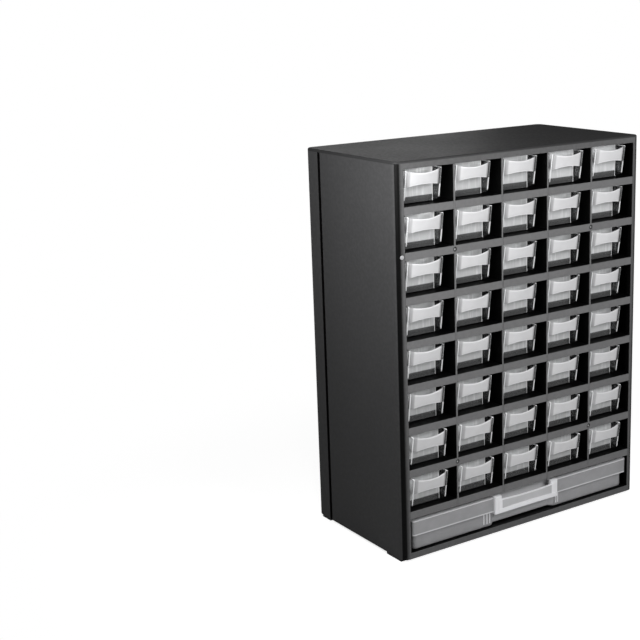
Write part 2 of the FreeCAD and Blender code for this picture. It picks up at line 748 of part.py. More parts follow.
def make_drawer_tray():
    """Floor, sides with forward cheeks, front wall, back wall and stop lugs of a small drawer."""
    body = new_body("drawer_tray")
    half = dims.drawer_width / 2
    rim = dims.drawer_height
    corners = ((dims.cheek_foot, dims.cheek_rise), (front_wall, zero), (drawer_back, zero),
               (drawer_back, rim), (dims.cheek_top, rim))
    side = outline(body, "tray_side", "YZ_Plane", corners)
    pad(body, side, dims.drawer_width, middle=True)
    inner = (dims.drawer_wall - half, half - dims.drawer_wall)
    cut_block(body, "tray_inside", inner,
              (front_wall + dims.drawer_wall, drawer_back - dims.drawer_wall),
              (dims.drawer_floor, rim + dims.overrun))
    cut_block(body, "finger_space", inner, (-dims.overrun, front_wall), (-dims.overrun, rim + dims.overrun))
    lug_end = drawer_back - dims.lug_setback
    lug = (lug_end - dims.lug_length, lug_end)
    top = (rim, rim + dims.lug_height)
    add_block(body, "lug_right", (half - dims.drawer_wall, half), lug, top)
    add_block(body, "lug_left", (-half, dims.drawer_wall - half), lug, top)
    return body


def make_small_drawer():
    """The small drawer at the middle of the front face, for every one to copy."""
    tray = make_drawer_tray()
    plate = make_pull_plate("drawer_pull", dims.drawer_width, dims.pull_height, dims.pull_bulge,
                            dims.pull_thickness, dims.pull_dip, dims.pull_arch)
    lean = (dims.cheek_foot - dims.cheek_top).slope_angle(cheek_height)
    plate.Placement.Rotation = FreeCAD.Rotation(FreeCAD.Vector(1, 0, 0), lean.value)
    bind(plate, ".Placement.Rotation.Angle", lean)
    drop = dims.pull_height / cheek_height
    place(plate, zero, dims.cheek_top + (dims.cheek_foot - dims.cheek_top) * drop,
          dims.drawer_height - dims.pull_height)
    whole = doc.addObject("Part::Fuse", "small_drawer")
    whole.Base = tray
    whole.Tool = plate
    whole.Refine = True
    return whole


def make_drawers(pattern):
    """The small drawers, each its own node, named by row and column."""
    drawers = []
    for row in range(1, ROWS + 1):
        for column in range(1, COLUMNS + 1):
            drawer = group("drawer_r%dc%d" % (row, column), [pattern])
            forward = dims.left_open * OPEN_SHARES.get((row, column), 0)
            place(drawer, drawer_place(column), footprint_shift - forward, shelf_top(row) + drawer_lift)
            drawers.append(drawer)
    return drawers


def wide_plan(half, front, back, bay, depth, corner_shift):
    """Plan of the wide tray: straight front with a splayed bay in its middle."""
    bay_half = bay / 2
    start = bay_half + corner_shift
    return ((-half, front), (-start, front), (depth - start, front + depth), (start - depth, front + depth),
            (start, front), (half, front), (half, back), (-half, back))


def make_wide_tray():
    """Floor, walls, upper band, bay and lugs of the wide drawer."""
    body = new_body("wide_tray")
    band_half = half_opening - dims.wide_side_gap
    half = band_half - dims.band_overhang
    front = dims.wide_recess + dims.band_step
    rim = dims.wide_height
    outer = outline(body, "wide_outer", "XY_Plane",
                    wide_plan(half, front, drawer_back, dims.bay_width, dims.bay_depth, zero))
    pad(body, outer, rim)
    rounded(body, "wide_corners", dims.wide_corner_radius, lambda edge: is_upright_at(edge, half, front))
    wall = dims.wide_wall
    inner = outline(body, "wide_inner", "XY_Plane",
                    wide_plan(half - wall, front + wall, drawer_back - wall, dims.bay_width,
                              dims.bay_depth, wall * (math.sqrt(2) - 1)))
    bind(inner, ".AttachmentOffset.Base.z", dims.wide_floor)
    pocket(body, inner, rim, back=True)
    rounded(body, "wide_inner_corners", dims.wide_corner_radius - wall,
            lambda edge: is_upright_at(edge, half - wall, front + wall))
    add_wide_band(body, band_half, half, front, rim)
    lug_end = drawer_back - dims.lug_setback
    lug = (lug_end - dims.lug_length, lug_end)
    top = (rim, rim + dims.wide_lug_height)
    add_block(body, "wide_lug_right", (half - wall, half), lug, top)
    add_block(body, "wide_lug_left", (-half, wall - half), lug, top)
    return body


def add_wide_band(body, band_half, half, front, rim):
    """The upper band of the front, proud of the lower front and wider than the tray."""
    start = dims.bay_width / 2
    behind = front + dims.wide_corner_radius
    low = rim - dims.band_height
    y = (dims.wide_recess, front + dims.wide_wall)
    for name, inner, outer in (("right", start, band_half), ("left", -band_half, -start)):
        add_block(body, "band_" + name, (inner, outer), y, (low, rim))
    flange = dims.band_overhang + dims.wide_wall
    for name, inner, outer in (("right", band_half - flange, band_half), ("left", -band_half, flange - band_half)):
        add_block(body, "band_return_" + name, (inner, outer), (front, behind), (low, rim))
    rounded(body, "band_corners", dims.band_corner_radius,
            lambda edge: is_upright_at(edge, band_half, dims.wide_recess))


def make_wide_pull():
    """End posts, dipped plate and thick arched lower lip of the wide pull."""
    half = dims.bay_width / 2
    bulge = dims.wide_pull_bulge
    thickness = dims.wide_pull_thickness
    plate = make_pull_plate("wide_pull_plate", dims.bay_width, dims.wide_pull_height - dims.plate_drop,
                            bulge, thickness, dims.wide_pull_dip, dims.wide_pull_arch)
    front = dims.wide_recess - dims.wide_pull_forward
    low = dims.wide_height + dims.post_rise - dims.wide_pull_height
    place(plate, zero, front, low)
    frame = new_body("wide_pull_frame")
    lip_bulge = bulge + dims.lip_forward
    curved_pad(frame, "wide_lip_plan", dims.bay_width, lip_bulge, bulge, thickness, dims.lip_height)
    cut_arch(frame, "wide_lip_arch", dims.bay_width, dims.wide_pull_arch,
             (-lip_bulge - dims.overrun, thickness + dims.overrun))
    reach = dims.band_step + dims.wide_pull_forward + dims.wide_wall
    for name, x in (("right", (half - dims.post_width, half)), ("left", (-half, dims.post_width - half))):
        add_block(frame, "post_" + name, x, (zero, thickness + dims.wide_pull_forward),
                  (zero, dims.wide_pull_height))
        edge = (half - dims.wide_wall, half) if name == "right" else (-half, dims.wide_wall - half)
        add_block(frame, "post_web_" + name, edge, (zero, reach), (zero, dims.wide_pull_height))
    place(frame, zero, front, low)
    return plate, frame


def make_wide_drawer():
    """The wide drawer at the bottom, with its finger bay and pull."""
    tray = make_wide_tray()
    plate, frame = make_wide_pull()
    whole = doc.addObject("Part::MultiFuse", "large_drawer")
    whole.Label = "large_drawer"
    whole.Shapes = [tray, plate, frame]
    whole.Refine = True
    place(whole, zero, footprint_shift, wide_cell_floor + drawer_lift)
    return whole


def make_stile_plug():
    """The light plug in the left stile, level with the second shelf."""
    plug = make_pin("stile_plug")
    place(plug, plug_x, footprint_shift, plug_z)
    return plug


def check_and_write(nodes):
    """Refuse a failed object or an empty or broken shape, then write each node."""
    for thing in doc.Objects:
        if "Invalid" in thing.State or "Error" in thing.State:
            raise RuntimeError("%s failed: %s" % (thing.Name, thing.State))
    for node in nodes:
        if node.Shape.isNull() or not node.Shape.isValid() or not node.Shape.Solids:
            raise RuntimeError("%s has no valid shape" % node.Label)
    os.makedirs("parts", exist_ok=True)
    for node in nodes:
        node.Shape.exportStep("parts/%s.step" % node.Label)
        print(node.Label, len(node.Shape.Solids), "solid, volume", round(node.Shape.Volume, 1))


nodes = [make_case_shell(), make_rear_cover()]
nodes += [make_shelf(shelf) for shelf in range(1, ROWS + 1)]
nodes += [make_divider(divider) for divider in range(1, COLUMNS)]
nodes += [make_rack_pins(), make_stile_plug(), make_cover_screws()]
nodes += make_drawers(make_small_drawer())
nodes += [make_wide_drawer()]
doc.recompute()
check_and_write(nodes)
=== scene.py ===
import math

import bmesh
import bpy
from mathutils import Matrix, Vector


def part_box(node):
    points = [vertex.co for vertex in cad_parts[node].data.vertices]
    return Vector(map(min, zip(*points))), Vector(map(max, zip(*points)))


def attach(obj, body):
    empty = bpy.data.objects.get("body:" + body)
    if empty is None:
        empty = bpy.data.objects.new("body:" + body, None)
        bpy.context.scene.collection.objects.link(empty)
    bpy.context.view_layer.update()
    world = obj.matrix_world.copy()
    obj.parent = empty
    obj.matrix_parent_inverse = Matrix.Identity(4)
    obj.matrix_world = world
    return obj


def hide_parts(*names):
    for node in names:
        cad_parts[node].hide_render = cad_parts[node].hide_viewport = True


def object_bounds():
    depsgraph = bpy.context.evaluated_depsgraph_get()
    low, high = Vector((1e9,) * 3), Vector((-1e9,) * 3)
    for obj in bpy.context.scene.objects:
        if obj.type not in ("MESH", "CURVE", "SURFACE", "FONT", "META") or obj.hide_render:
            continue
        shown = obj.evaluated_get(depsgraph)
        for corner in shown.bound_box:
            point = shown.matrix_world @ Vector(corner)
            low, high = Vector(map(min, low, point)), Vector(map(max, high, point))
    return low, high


bl_info = {
    "name": "Parts Bin Cabinet",
    "version": (1, 0, 0),
    "blender": (4, 5, 0),
    "location": "3D View > Sidebar > Cabinet",
    "description": "Dresses a parts bin cabinet: black case, clear small drawers, frosted wide drawer",
    "category": "Object",
}

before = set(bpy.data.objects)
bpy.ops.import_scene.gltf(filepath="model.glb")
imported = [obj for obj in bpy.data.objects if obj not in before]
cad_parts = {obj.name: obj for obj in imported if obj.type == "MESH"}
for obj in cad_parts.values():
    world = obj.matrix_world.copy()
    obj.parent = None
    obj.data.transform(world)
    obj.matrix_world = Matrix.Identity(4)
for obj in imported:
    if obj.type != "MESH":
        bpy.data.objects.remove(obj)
case_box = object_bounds()

MM = 0.001
ROWS = 8
COLUMNS = 5

# The small drawer, in metres: X across, Y back from its cheeks' front edges, Z up from its bottom.
RIM_SETBACK = 0.6 * MM
FOOT_SETBACK = 5.0 * MM
FOOT_RISE = 3.75 * MM
FINGER_WALL = 13.4 * MM
BACK_END = 151.1 * MM
PULL_HEIGHT = 16.0 * MM
PULL_DIP = 3.0 * MM
PULL_ARCH = 2.5 * MM
PULL_BULGE = 2.8 * MM
PULL_END_RADIUS = 3.5 * MM
PULL_MEETS_CHEEK = 0.4 * MM
PULL_TURN_SHARE = 0.7
KEEL_RADIUS = 6.5 * MM
CHEEK_RADIUS = 3.0 * MM
FLOOR_RADIUS = 2.5 * MM
LUG_SETBACK = 22.0 * MM
LUG_LENGTH = 3.0 * MM
LUG_HEIGHT = 3.0 * MM

# The wide drawer, from the middle of its front, back from the case's front face.
WIDE_RECESS = 0.2 * MM
WIDE_RIM = 30.4 * MM
WIDE_FLOOR = 1.6 * MM
WIDE_SIDE_GAP = 2.6 * MM
HALF_OPENING = 141.6 * MM
BAND_HEIGHT = 15.0 * MM
BAND_STEP = 3.2 * MM
BAND_OVERHANG = 2.6 * MM
BAND_RADIUS = 3.0 * MM
WIDE_RADIUS = 5.0 * MM
WIDE_KEEL_RADIUS = 3.5 * MM
WIDE_KEEL_STEPS = 3
ROUND_SHARE = 0.5
BAY_WIDTH = 82.0 * MM
BAY_DEPTH = 5.0 * MM
POST_WIDTH = 8.8 * MM
POST_RISE = 1.0 * MM
POST_FORWARD = 2.8 * MM
POST_RADIUS = 1.4 * MM
WIDE_PULL_HEIGHT = 18.0 * MM
PLATE_DROP = 3.0 * MM
PLATE_BULGE = 1.5 * MM
PLATE_DIP = 1.0 * MM
PLATE_ARCH = 1.8 * MM
PLATE_THICKNESS = 2.0 * MM
LIP_HEIGHT = 5.0 * MM
LIP_FORWARD = 1.2 * MM
LIP_SHARE = 0.85
WIDE_LUG_HEIGHT = 4.5 * MM
RIB_WIDTH = 0.9 * MM
RIB_DEPTH = 0.35 * MM
WIDE_SOFTNESS_SHARE = 1.6
LEFT_RIBS = (-51.0 * MM, -47.0 * MM, -43.5 * MM)
RIGHT_RIBS = (43.5 * MM, 46.0 * MM)

# Rack pins and plug. Each share of a head is a pair: of its radius, and of its height.
PIN_RADIUS = 2.1 * MM
PIN_RECESS = 0.3 * MM
PIN_LENGTH = 5.0 * MM
PIN_SHANK = 1.2 * MM
PIN_HEAD = 0.8 * MM
PIN_CENTRE_RINGS = 1
PIN_HEAD_SHARES = ((0.28, 0.0), (0.42, 0.1), (0.48, 0.6), (0.78, 0.6), (0.84, 0.05), (0.93, 0.0),
                   (1.0, 0.25), (1.0, 1.0))
PLUG_HEAD_SHARES = ((0.25, 0.0), (0.75, 0.08), (0.95, 0.25), (1.0, 0.5), (1.0, 1.0))
TIP_WIDTH_SHARE = 0.7
TIP_HEIGHT_SHARE = 0.3
HEAD_SOFTNESS = 0.05 * MM

# Where the case's painted light changes: painted shade in its hollow, painted sheen on its front faces,
# and painted shade on its upright corners and in its groove.
INSIDE_HALF = 147.7 * MM
INSIDE_TOP = 379.2 * MM
INSIDE_FLOOR = 4.6 * MM
HOLLOW_FADE = 0.3 * MM
UNDER_FADE = 0.4 * MM
FRONT_FACE = case_box[0].y + 5.3 * MM
FRONT_DEPTH = 0.35 * MM
FRONT_FADE = 0.55 * MM
FRONT_TOP = 379.4 * MM
CREST_FADE = 1.2 * MM
STILE_TURN = 142.6 * MM
STILE_FADE = 5.0 * MM
CORNER_DEPTH = 3.2 * MM
CORNER_FADE = 1.0 * MM
GROOVE_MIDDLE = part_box("rear_cover")[0].y + 6.0 * MM
GROOVE_HALF = 2.0 * MM
GROOVE_FADE = 0.4 * MM

# How edges are rounded: the steps across an edge, and from what turn in degrees an edge is sharp.
EDGE_STEPS = 2
SHARP_TURN = 35.0
CASE_SHARP_TURN = 40.0
WELD_REACH = 0.01 * MM

# The camera: where it stands, how it is turned, and its lens.
CAMERA_PLACE = (-809.9 * MM, -950.9 * MM, 533.9 * MM)
CAMERA_YAW = 34.69
CAMERA_PITCH = 13.47
CAMERA_ROLL = -1.31
CAMERA_LENS = 74.2
CAMERA_SHIFT = (-0.12, -0.03)
SENSOR_WIDTH = 36.0
CLIP_START = 10.0 * MM


class CabinetSizes(bpy.types.PropertyGroup):
    """The sizes that a user would change."""

    drawer_wall: bpy.props.FloatProperty(
        name="Drawer wall", description="Wall thickness of a small drawer",
        default=1.2 * MM, min=0.5 * MM, max=3.0 * MM, unit="LENGTH", subtype="DISTANCE")
    wide_wall: bpy.props.FloatProperty(
        name="Wide drawer wall", description="Wall thickness of the wide drawer",
        default=1.8 * MM, min=0.5 * MM, max=4.0 * MM, unit="LENGTH", subtype="DISTANCE")
    pull_thickness: bpy.props.FloatProperty(
        name="Pull thickness", description="Thickness of a small drawer's pull",
        default=1.5 * MM, min=0.5 * MM, max=3.0 * MM, unit="LENGTH", subtype="DISTANCE")
    edge_softness: bpy.props.FloatProperty(
        name="Edge softness", description="Rounding of the edges of the clear drawers",
        default=0.25 * MM, min=0.05 * MM, max=1.0 * MM, unit="LENGTH", subtype="DISTANCE")
    case_softness: bpy.props.FloatProperty(
        name="Case softness", description="Rounding of the case's edges",
        default=0.35 * MM, min=0.05 * MM, max=1.0 * MM, unit="LENGTH", subtype="DISTANCE")
    camera_lens: bpy.props.FloatProperty(
        name="Camera lens", description="Focal length of the camera, in millimetres",
        default=CAMERA_LENS, min=10.0, max=300.0)


class CabinetColours(bpy.types.PropertyGroup):
    """The colours that a user would change."""

    case: bpy.props.FloatVectorProperty(
        name="Case", description="Black plastic of the case, shelves and dividers",
        default=(0.050, 0.050, 0.051), min=0.0, max=1.0, size=3, subtype="COLOR")
    # Lighter than the case, as a painted sheen on the front faces.
    front: bpy.props.FloatVectorProperty(
        name="Front faces", description="The same plastic on its matt front faces",
        default=(0.15, 0.15, 0.152), min=0.0, max=1.0, size=3, subtype="COLOR")
    clear: bpy.props.FloatVectorProperty(
        name="Clear drawers", description="Walls of the small drawers",
        default=(0.84, 0.85, 0.86), min=0.0, max=1.0, size=3, subtype="COLOR")
    pull: bpy.props.FloatVectorProperty(
        name="Pulls", description="Frosted pulls of the small drawers",
        default=(0.59, 0.59, 0.60), min=0.0, max=1.0, size=3, subtype="COLOR")
    wide: bpy.props.FloatVectorProperty(
        name="Wide drawer", description="Frosted plastic of the wide drawer",
        default=(0.38, 0.38, 0.39), min=0.0, max=1.0, size=3, subtype="COLOR")
    plug: bpy.props.FloatVectorProperty(
        name="Plug", description="Light plug in the left upright",
        default=(0.32, 0.32, 0.33), min=0.0, max=1.0, size=3, subtype="COLOR")
    screw: bpy.props.FloatVectorProperty(
        name="Screws", description="Blackened steel of the cover screws",
        default=(0.07, 0.07, 0.075), min=0.0, max=1.0, size=3, subtype="COLOR")
    floor: bpy.props.FloatVectorProperty(
        name="Floor", description="Floor and backdrop",
        default=(0.40, 0.40, 0.40), min=0.0, max=1.0, size=3, subtype="COLOR")


class Wire:
    """One socket in a node tree, so that shader maths reads as sums and products."""

    def __init__(self, tree, socket=None):
        self.tree = tree
        self.socket = socket

    def node(self, kind, settings, sockets, output=0):
        """Add a node: its settings first, then the values or links of its sockets."""
        made = self.tree.nodes.new(kind)
        for key, value in settings.items():
            setattr(made, key, value)
        for key, value in sockets.items():
            if isinstance(value, Wire):
                self.tree.links.new(value.socket, made.inputs[key])
            else:
                made.inputs[key].default_value = value
        return Wire(self.tree, made.outputs[output])

    def maths(self, operation, first, second):
        return self.node("ShaderNodeMath", {"operation": operation}, {0: first, 1: second})

    def __add__(self, other):
        return self.maths("ADD", self, other)

    def __radd__(self, other):
        return self.maths("ADD", other, self)

    def __sub__(self, other):
        return self.maths("SUBTRACT", self, other)

    def __rsub__(self, other):
        return self.maths("SUBTRACT", other, self)

    def __mul__(self, other):
        return self.maths("MULTIPLY", self, other)

    def __rmul__(self, other):
        return self.maths("MULTIPLY", other, self)

    def __truediv__(self, other):
        return self.maths("DIVIDE", self, other)

    def __rtruediv__(self, other):
        return self.maths("DIVIDE", other, self)

    def __abs__(self):
        return self.maths("ABSOLUTE", self, 0.0)


def shade(colour, share=1.0):
    """A colour made darker or lighter by a share, with full cover."""
    return (*[channel * share for channel in colour], 1.0)


def new_material(name):
    """A material with its surface node and a wire that carries each piece's own coordinates."""
    material = bpy.data.materials.new(name)
    material.use_nodes = True
    tree = material.node_tree
    surface = tree.nodes["Principled BSDF"]
    place = Wire(tree).node("ShaderNodeTexCoord", {}, {}, "Object")
    return material, surface, place


def link(wire, surface, name):
    """Lead a wire to one of the surface's sockets."""
    wire.tree.links.new(wire.socket, surface.inputs[name])


def noise(place, size, detail, seed=0.0):
    """Soft random grey, with features of about a given size in metres."""
    return place.node("ShaderNodeTexNoise", {"noise_dimensions": "4D"},
                      {"Vector": place, "W": seed, "Scale": 1.0 / size, "Detail": detail})


def blend_colours(wire, share, first, second):
    """Mix two colours by a share that varies over the surface."""
    return wire.node("ShaderNodeMix", {"data_type": "RGBA"}, {0: share, 6: first, 7: second}, 2)


def bump(height, relief):
    """Fine relief for the surface's normal, from its strength and its depth."""
    strength, depth = relief
    return height.node("ShaderNodeBump", {}, {"Strength": strength, "Distance": depth, "Height": height})


def contrast(wire, span):
    """Stretch a grey so that a span within it reaches from black to white."""
    low, high = span
    return wire.node("ShaderNodeMapRange", {}, {"Value": wire, "From Min": low, "From Max": high})


def varied(share, levels):
    """A level that varies over the surface between two given ones."""
    return levels[0] + (levels[1] - levels[0]) * share


def mingled(first, second, share):
    """Two greys added together, the second one by its share of the whole."""
    return (1.0 - share) * first + share * second


def ramp_up(wire, start, width):
    """Rise smoothly from nothing to one, over a width from where it starts."""
    return wire.node("ShaderNodeMapRange", {"interpolation_type": "SMOOTHSTEP"},
                     {"Value": wire, "From Min": start, "From Max": start + width})


def ramp_down(wire, start, width):
    """Fall smoothly from one to nothing, over a width from where it starts."""
    return 1.0 - ramp_up(wire, start, width)


def crown(x, half):
    """One in the middle of a width and zero at its ends, for a place or for its wire."""
    return 1.0 - (x / half) * (x / half)


def highest(first, *others):
    """The highest of several greys at each place."""
    for other in others:
        first = first.maths("MAXIMUM", first, other)
    return first


def clouded(share, colour, shares):
    """A colour that varies over the surface between two shares of itself."""
    return blend_colours(share, share, shade(colour, shares[0]), shade(colour, shares[1]))


def axes(place):
    """The three coordinates of a place, each on its own wire."""
    parts = place.node("ShaderNodeSeparateXYZ", {}, {"Vector": place}).socket.node.outputs
    return [Wire(place.tree, part) for part in parts]


def dress(surface, colour, roughness, relief, **constants):
    """Lead the wires that vary to a surface, and set the sockets that don't."""
    link(colour, surface, "Base Color")
    link(roughness, surface, "Roughness")
    link(relief, surface, "Normal")
    for name, value in constants.items():
        surface.inputs[name.replace("_", " ")].default_value = value


# A noise has its size, its detail and its seed. A relief has its strength and its depth.

# Black plastic: its clouds, flecks and grain, and the painted sheen and painted shade that set how light
# each of its faces is.
CLOUD_NOISE = (60.0 * MM, 4.0)
FLECK_NOISE = (3.5 * MM, 5.0, 7.0)
GRAIN_NOISE = (0.35 * MM, 2.0, 3.0)
FLECK_SPAN = (0.42, 0.62)
FLECK_SHARE = 0.4
GRAIN_RELIEF = (0.18, 0.05 * MM)
BLACK_ROUGHNESS = (0.42, 0.52)
FLECK_ROUGHNESS = 0.06
BLACK_SPECULAR = 0.10
SATIN_SHARES = (0.85, 1.2)
TOP_PAINTED_SHADE_SHARE = 0.6
PAINTED_SHADE_SHARE = 0.03
RIM_PAINTED_SHEEN_SHARES = (0.50, 0.66)
RACK_PAINTED_SHEEN_SHARES = (0.76, 0.92)


def black_plastic(name, outside):
    """Black moulded plastic: front faces lighter as painted sheen, satin outside with painted shade on
    top, and painted shade as deep black within the cells, in the groove and on the upright corners.
    """
    colours = bpy.context.scene.cabinet_colours
    material, surface, place = new_material(name)
    clouds = noise(place, *CLOUD_NOISE)
    flecks = contrast(noise(place, *FLECK_NOISE), FLECK_SPAN)
    mottle = mingled(clouds, flecks, FLECK_SHARE)
    y = axes(place)[1]
    # face: the front faces, lightened as a painted sheen.
    face = ramp_down(y, FRONT_FACE + FRONT_DEPTH, FRONT_FADE)
    # deep: painted shade, near-black where the cells, groove and rounded corners lie in shade.
    deep = shade(colours.case, PAINTED_SHADE_SHARE)
    if outside:
        satin_with_painted_top_shade, shell, crest, corner = shell_masks(place, mottle)
        rim = clouded(mottle, colours.front, RIM_PAINTED_SHEEN_SHARES)
        fronted = blend_colours(place, face, blend_colours(place, shell, deep, satin_with_painted_top_shade),
                                blend_colours(place, crest, rim, satin_with_painted_top_shade))
        colour = blend_colours(place, corner, fronted, deep)
    else:
        colour = blend_colours(place, face, deep, clouded(mottle, colours.front, RACK_PAINTED_SHEEN_SHARES))
    dress(surface, colour, varied(clouds, BLACK_ROUGHNESS) + FLECK_ROUGHNESS * flecks,
          bump(noise(place, *GRAIN_NOISE), GRAIN_RELIEF), Specular_IOR_Level=BLACK_SPECULAR)
    return material


def shell_masks(place, mottle):
    """The satin of the shell with painted shade on its top, where it shows rather than the painted shade
    of the hollow and groove, its upper crest, and its upright corners painted black as shade.
    """
    case = bpy.context.scene.cabinet_colours.case
    x, y, z = axes(place)
    beside = ramp_up(abs(x), INSIDE_HALF, HOLLOW_FADE)
    above = ramp_up(z, INSIDE_TOP, HOLLOW_FADE)
    under = ramp_down(z, INSIDE_FLOOR, UNDER_FADE)
    # The side groove is painted near-black as shade.
    groove = ramp_down(abs(y - GROOVE_MIDDLE), GROOVE_HALF, GROOVE_FADE)
    shell = highest(beside, above, under) * (1.0 - groove * (1.0 - above))
    # The top is painted darker than the sides as shade.
    satin_with_painted_top_shade = blend_colours(place, above, clouded(mottle, case, SATIN_SHARES), shade(case, TOP_PAINTED_SHADE_SHARE))
    crest = ramp_up(z, FRONT_TOP, CREST_FADE)
    # The rounded upright corners are painted black as shade.
    turned_away = ramp_up(abs(x), STILE_TURN, STILE_FADE)
    corner = turned_away * ramp_down(y, FRONT_FACE + CORNER_DEPTH, CORNER_FADE) * (1.0 - crest)
    return satin_with_painted_top_shade, shell, crest, corner


# Clear plastic: its haze and streaks, its bright edges, how see-through each of its walls is, and the
# painted shade that darkens and clears its lower walls.
HAZE_NOISE = (14.0 * MM, 3.0)
HAZE_SEED = 9.0
STREAK_NOISE = (2.4 * MM, 2.0)
STREAK_SEED = 5.0
STREAK_RELIEF = (0.05, 0.1 * MM)
STREAK_SHARES = (1.0, 1.0, 0.1)
STREAK_SPAN = (0.5, 0.75)
GLINT_ALPHA = (0.06, 0.20)
CLEAR_ROUGHNESS = (0.16, 0.26)
COAT = 0.2
COAT_ROUGHNESS = 0.1
HAZE_SHARES = (0.92, 1.06)
KEEL_PAINTED_SHADE_SHARE = 0.3
CHEEK_SHARE = 0.75
BESIDE_PULL_SHARE = 0.85
SEAM_SHARE = 0.9
CHEEK_DEPTH = 0.15 * MM
SEAM_DEPTH = 0.1 * MM
EDGE_FADE = 0.3 * MM
SIDE_DEPTH = 1.4 * MM
SIDE_FADE = 0.15 * MM
RIM_DEPTH = 0.7 * MM
RIM_FADE = 0.4 * MM
SEAM_WIDTH = 1.0 * MM
MIDDLE_FADE = 1.0 * MM
PULL_FADE = 0.8 * MM
KEEL_LINE = 5.2 * MM
KEEL_FADE = 1.4 * MM
UPPER_LINE = 19.0 * MM
UPPER_FADE = 6.0 * MM
KEEL_ALPHA = 0.22
WALL_ALPHA = 0.30
UPPER_ALPHA = 0.12
SIDE_ALPHA = 0.04
EDGE_ALPHA = 0.95


def clear_plastic():
    """Clear moulded plastic of the small drawers, a little hazy, whiter along its thick edges, and darker
    and more see-through low down as painted shade.
    """
    half = drawer_size()[0]
    material, surface, place = new_material("bin_clear")
    vary = place.node("ShaderNodeObjectInfo", {}, {}, "Random")
    haze = noise(place, *HAZE_NOISE, HAZE_SEED * vary)
    drawn = place.node("ShaderNodeMapping", {}, {"Vector": place, "Scale": STREAK_SHARES})
    streaks = noise(drawn, *STREAK_NOISE, STREAK_SEED * vary)
    x, y, z = axes(place)
    side = ramp_up(abs(x), half - SIDE_DEPTH, SIDE_FADE)
    edge = clear_edges(x, y, z, side)
    # Below the keel line the walls are painted as shade: darker and more see-through.
    above_keel = ramp_up(z, KEEL_LINE, KEEL_FADE)
    middle = KEEL_ALPHA + WALL_ALPHA * above_keel + UPPER_ALPHA * ramp_up(z, UPPER_LINE, UPPER_FADE)
    glints = contrast(streaks, STREAK_SPAN) * varied(above_keel, GLINT_ALPHA)
    body = middle + (SIDE_ALPHA - middle) * side + glints
    link(body + (EDGE_ALPHA - body) * edge, surface, "Alpha")
    colour = bpy.context.scene.cabinet_colours.clear
    shadowed = (1.0 - above_keel) * (1.0 - edge)
    walls = blend_colours(place, shadowed, clouded(haze, colour, HAZE_SHARES), shade(colour, KEEL_PAINTED_SHADE_SHARE))
    dress(surface, walls, varied(haze, CLEAR_ROUGHNESS), bump(streaks, STREAK_RELIEF),
          Coat_Weight=COAT, Coat_Roughness=COAT_ROUGHNESS)
    return material


def clear_edges(x, y, z, side):
    """Bright edges of a clear drawer: its cheeks, its rim, and the seams beside its front wall."""
    half, rim = drawer_size()
    inner = half - bpy.context.scene.cabinet_sizes.drawer_wall
    beside_pull = ramp_up(x, 0.0, MIDDLE_FADE) * ramp_up(z - rim, -PULL_HEIGHT, PULL_FADE)
    cheek_line = RIM_SETBACK + (rim - z) * cheek_slope(rim)
    cheek = side * ramp_down(y - cheek_line, CHEEK_DEPTH, EDGE_FADE)
    cheek_seen = cheek * (1.0 - BESIDE_PULL_SHARE * beside_pull)
    seam = ramp_up(abs(x), inner - SEAM_WIDTH, RIM_FADE) * (1.0 - side)
    seam_front = seam * ramp_down(y, FINGER_WALL + SEAM_DEPTH, EDGE_FADE)
    rim_edge = ramp_up(z, rim - RIM_DEPTH, RIM_FADE)
    return highest(CHEEK_SHARE * cheek_seen, rim_edge, SEAM_SHARE * seam_front)


def cheek_slope(rim):
    """How far a cheek's front edge leans back for each metre down from the rim."""
    return (FOOT_SETBACK - RIM_SETBACK) / (rim - FOOT_RISE)


# Frosted pulls: their clouds and etching, ends darkened as painted shade, and borders lighter, partly the
# thicker edge and partly painted highlight.
PULL_NOISE = (11.0 * MM, 3.0)
ETCH_NOISE = (0.3 * MM, 2.0)
ETCH_RELIEF = (0.15, 0.04 * MM)
PULL_ROUGHNESS = (0.40, 0.54)
PULL_ALPHA = (0.84, 0.90)
END_ALPHA = 0.15
PULL_IOR = 1.58
PULL_END = 5.4 * MM
PULL_END_FADE = 1.6 * MM
BORDER_WIDTH = 0.5 * MM
BORDER_FADE = 0.5 * MM
PULL_SHARES = (0.93, 1.03)
BORDER_HIGHLIGHT_SHARE = 1.2
END_PAINTED_SHADE_SHARE = 0.72


def pull_plastic():
    """Frosted plastic of the small pulls, with a very fine etched texture."""
    colour = bpy.context.scene.cabinet_colours.pull
    material, surface, place = new_material("pull_frosted")
    vary = place.node("ShaderNodeObjectInfo", {}, {}, "Random")
    haze = noise(place, *PULL_NOISE, HAZE_SEED * vary)
    x, _, z = axes(place)
    half, rim = drawer_size()
    # The curved ends are painted darker as shade.
    end = ramp_up(abs(x), half - PULL_END, PULL_END_FADE)
    arch = crown(x, half)
    from_top = rim - PULL_MEETS_CHEEK - PULL_DIP * arch - z
    from_foot = z - (rim - PULL_HEIGHT) - PULL_ARCH * arch
    # The borders are lighter, partly the thicker edge and partly painted highlight.
    border_edge_and_highlight = ramp_down(from_top.maths("MINIMUM", from_top, from_foot), BORDER_WIDTH, BORDER_FADE)
    edged = blend_colours(place, border_edge_and_highlight, clouded(haze, colour, PULL_SHARES), shade(colour, BORDER_HIGHLIGHT_SHARE))
    link(varied(haze, PULL_ALPHA) - END_ALPHA * end, surface, "Alpha")
    dress(surface, blend_colours(place, end, edged, shade(colour, END_PAINTED_SHADE_SHARE)),
          varied(haze, PULL_ROUGHNESS), bump(noise(place, *ETCH_NOISE), ETCH_RELIEF), IOR=PULL_IOR)
    return material


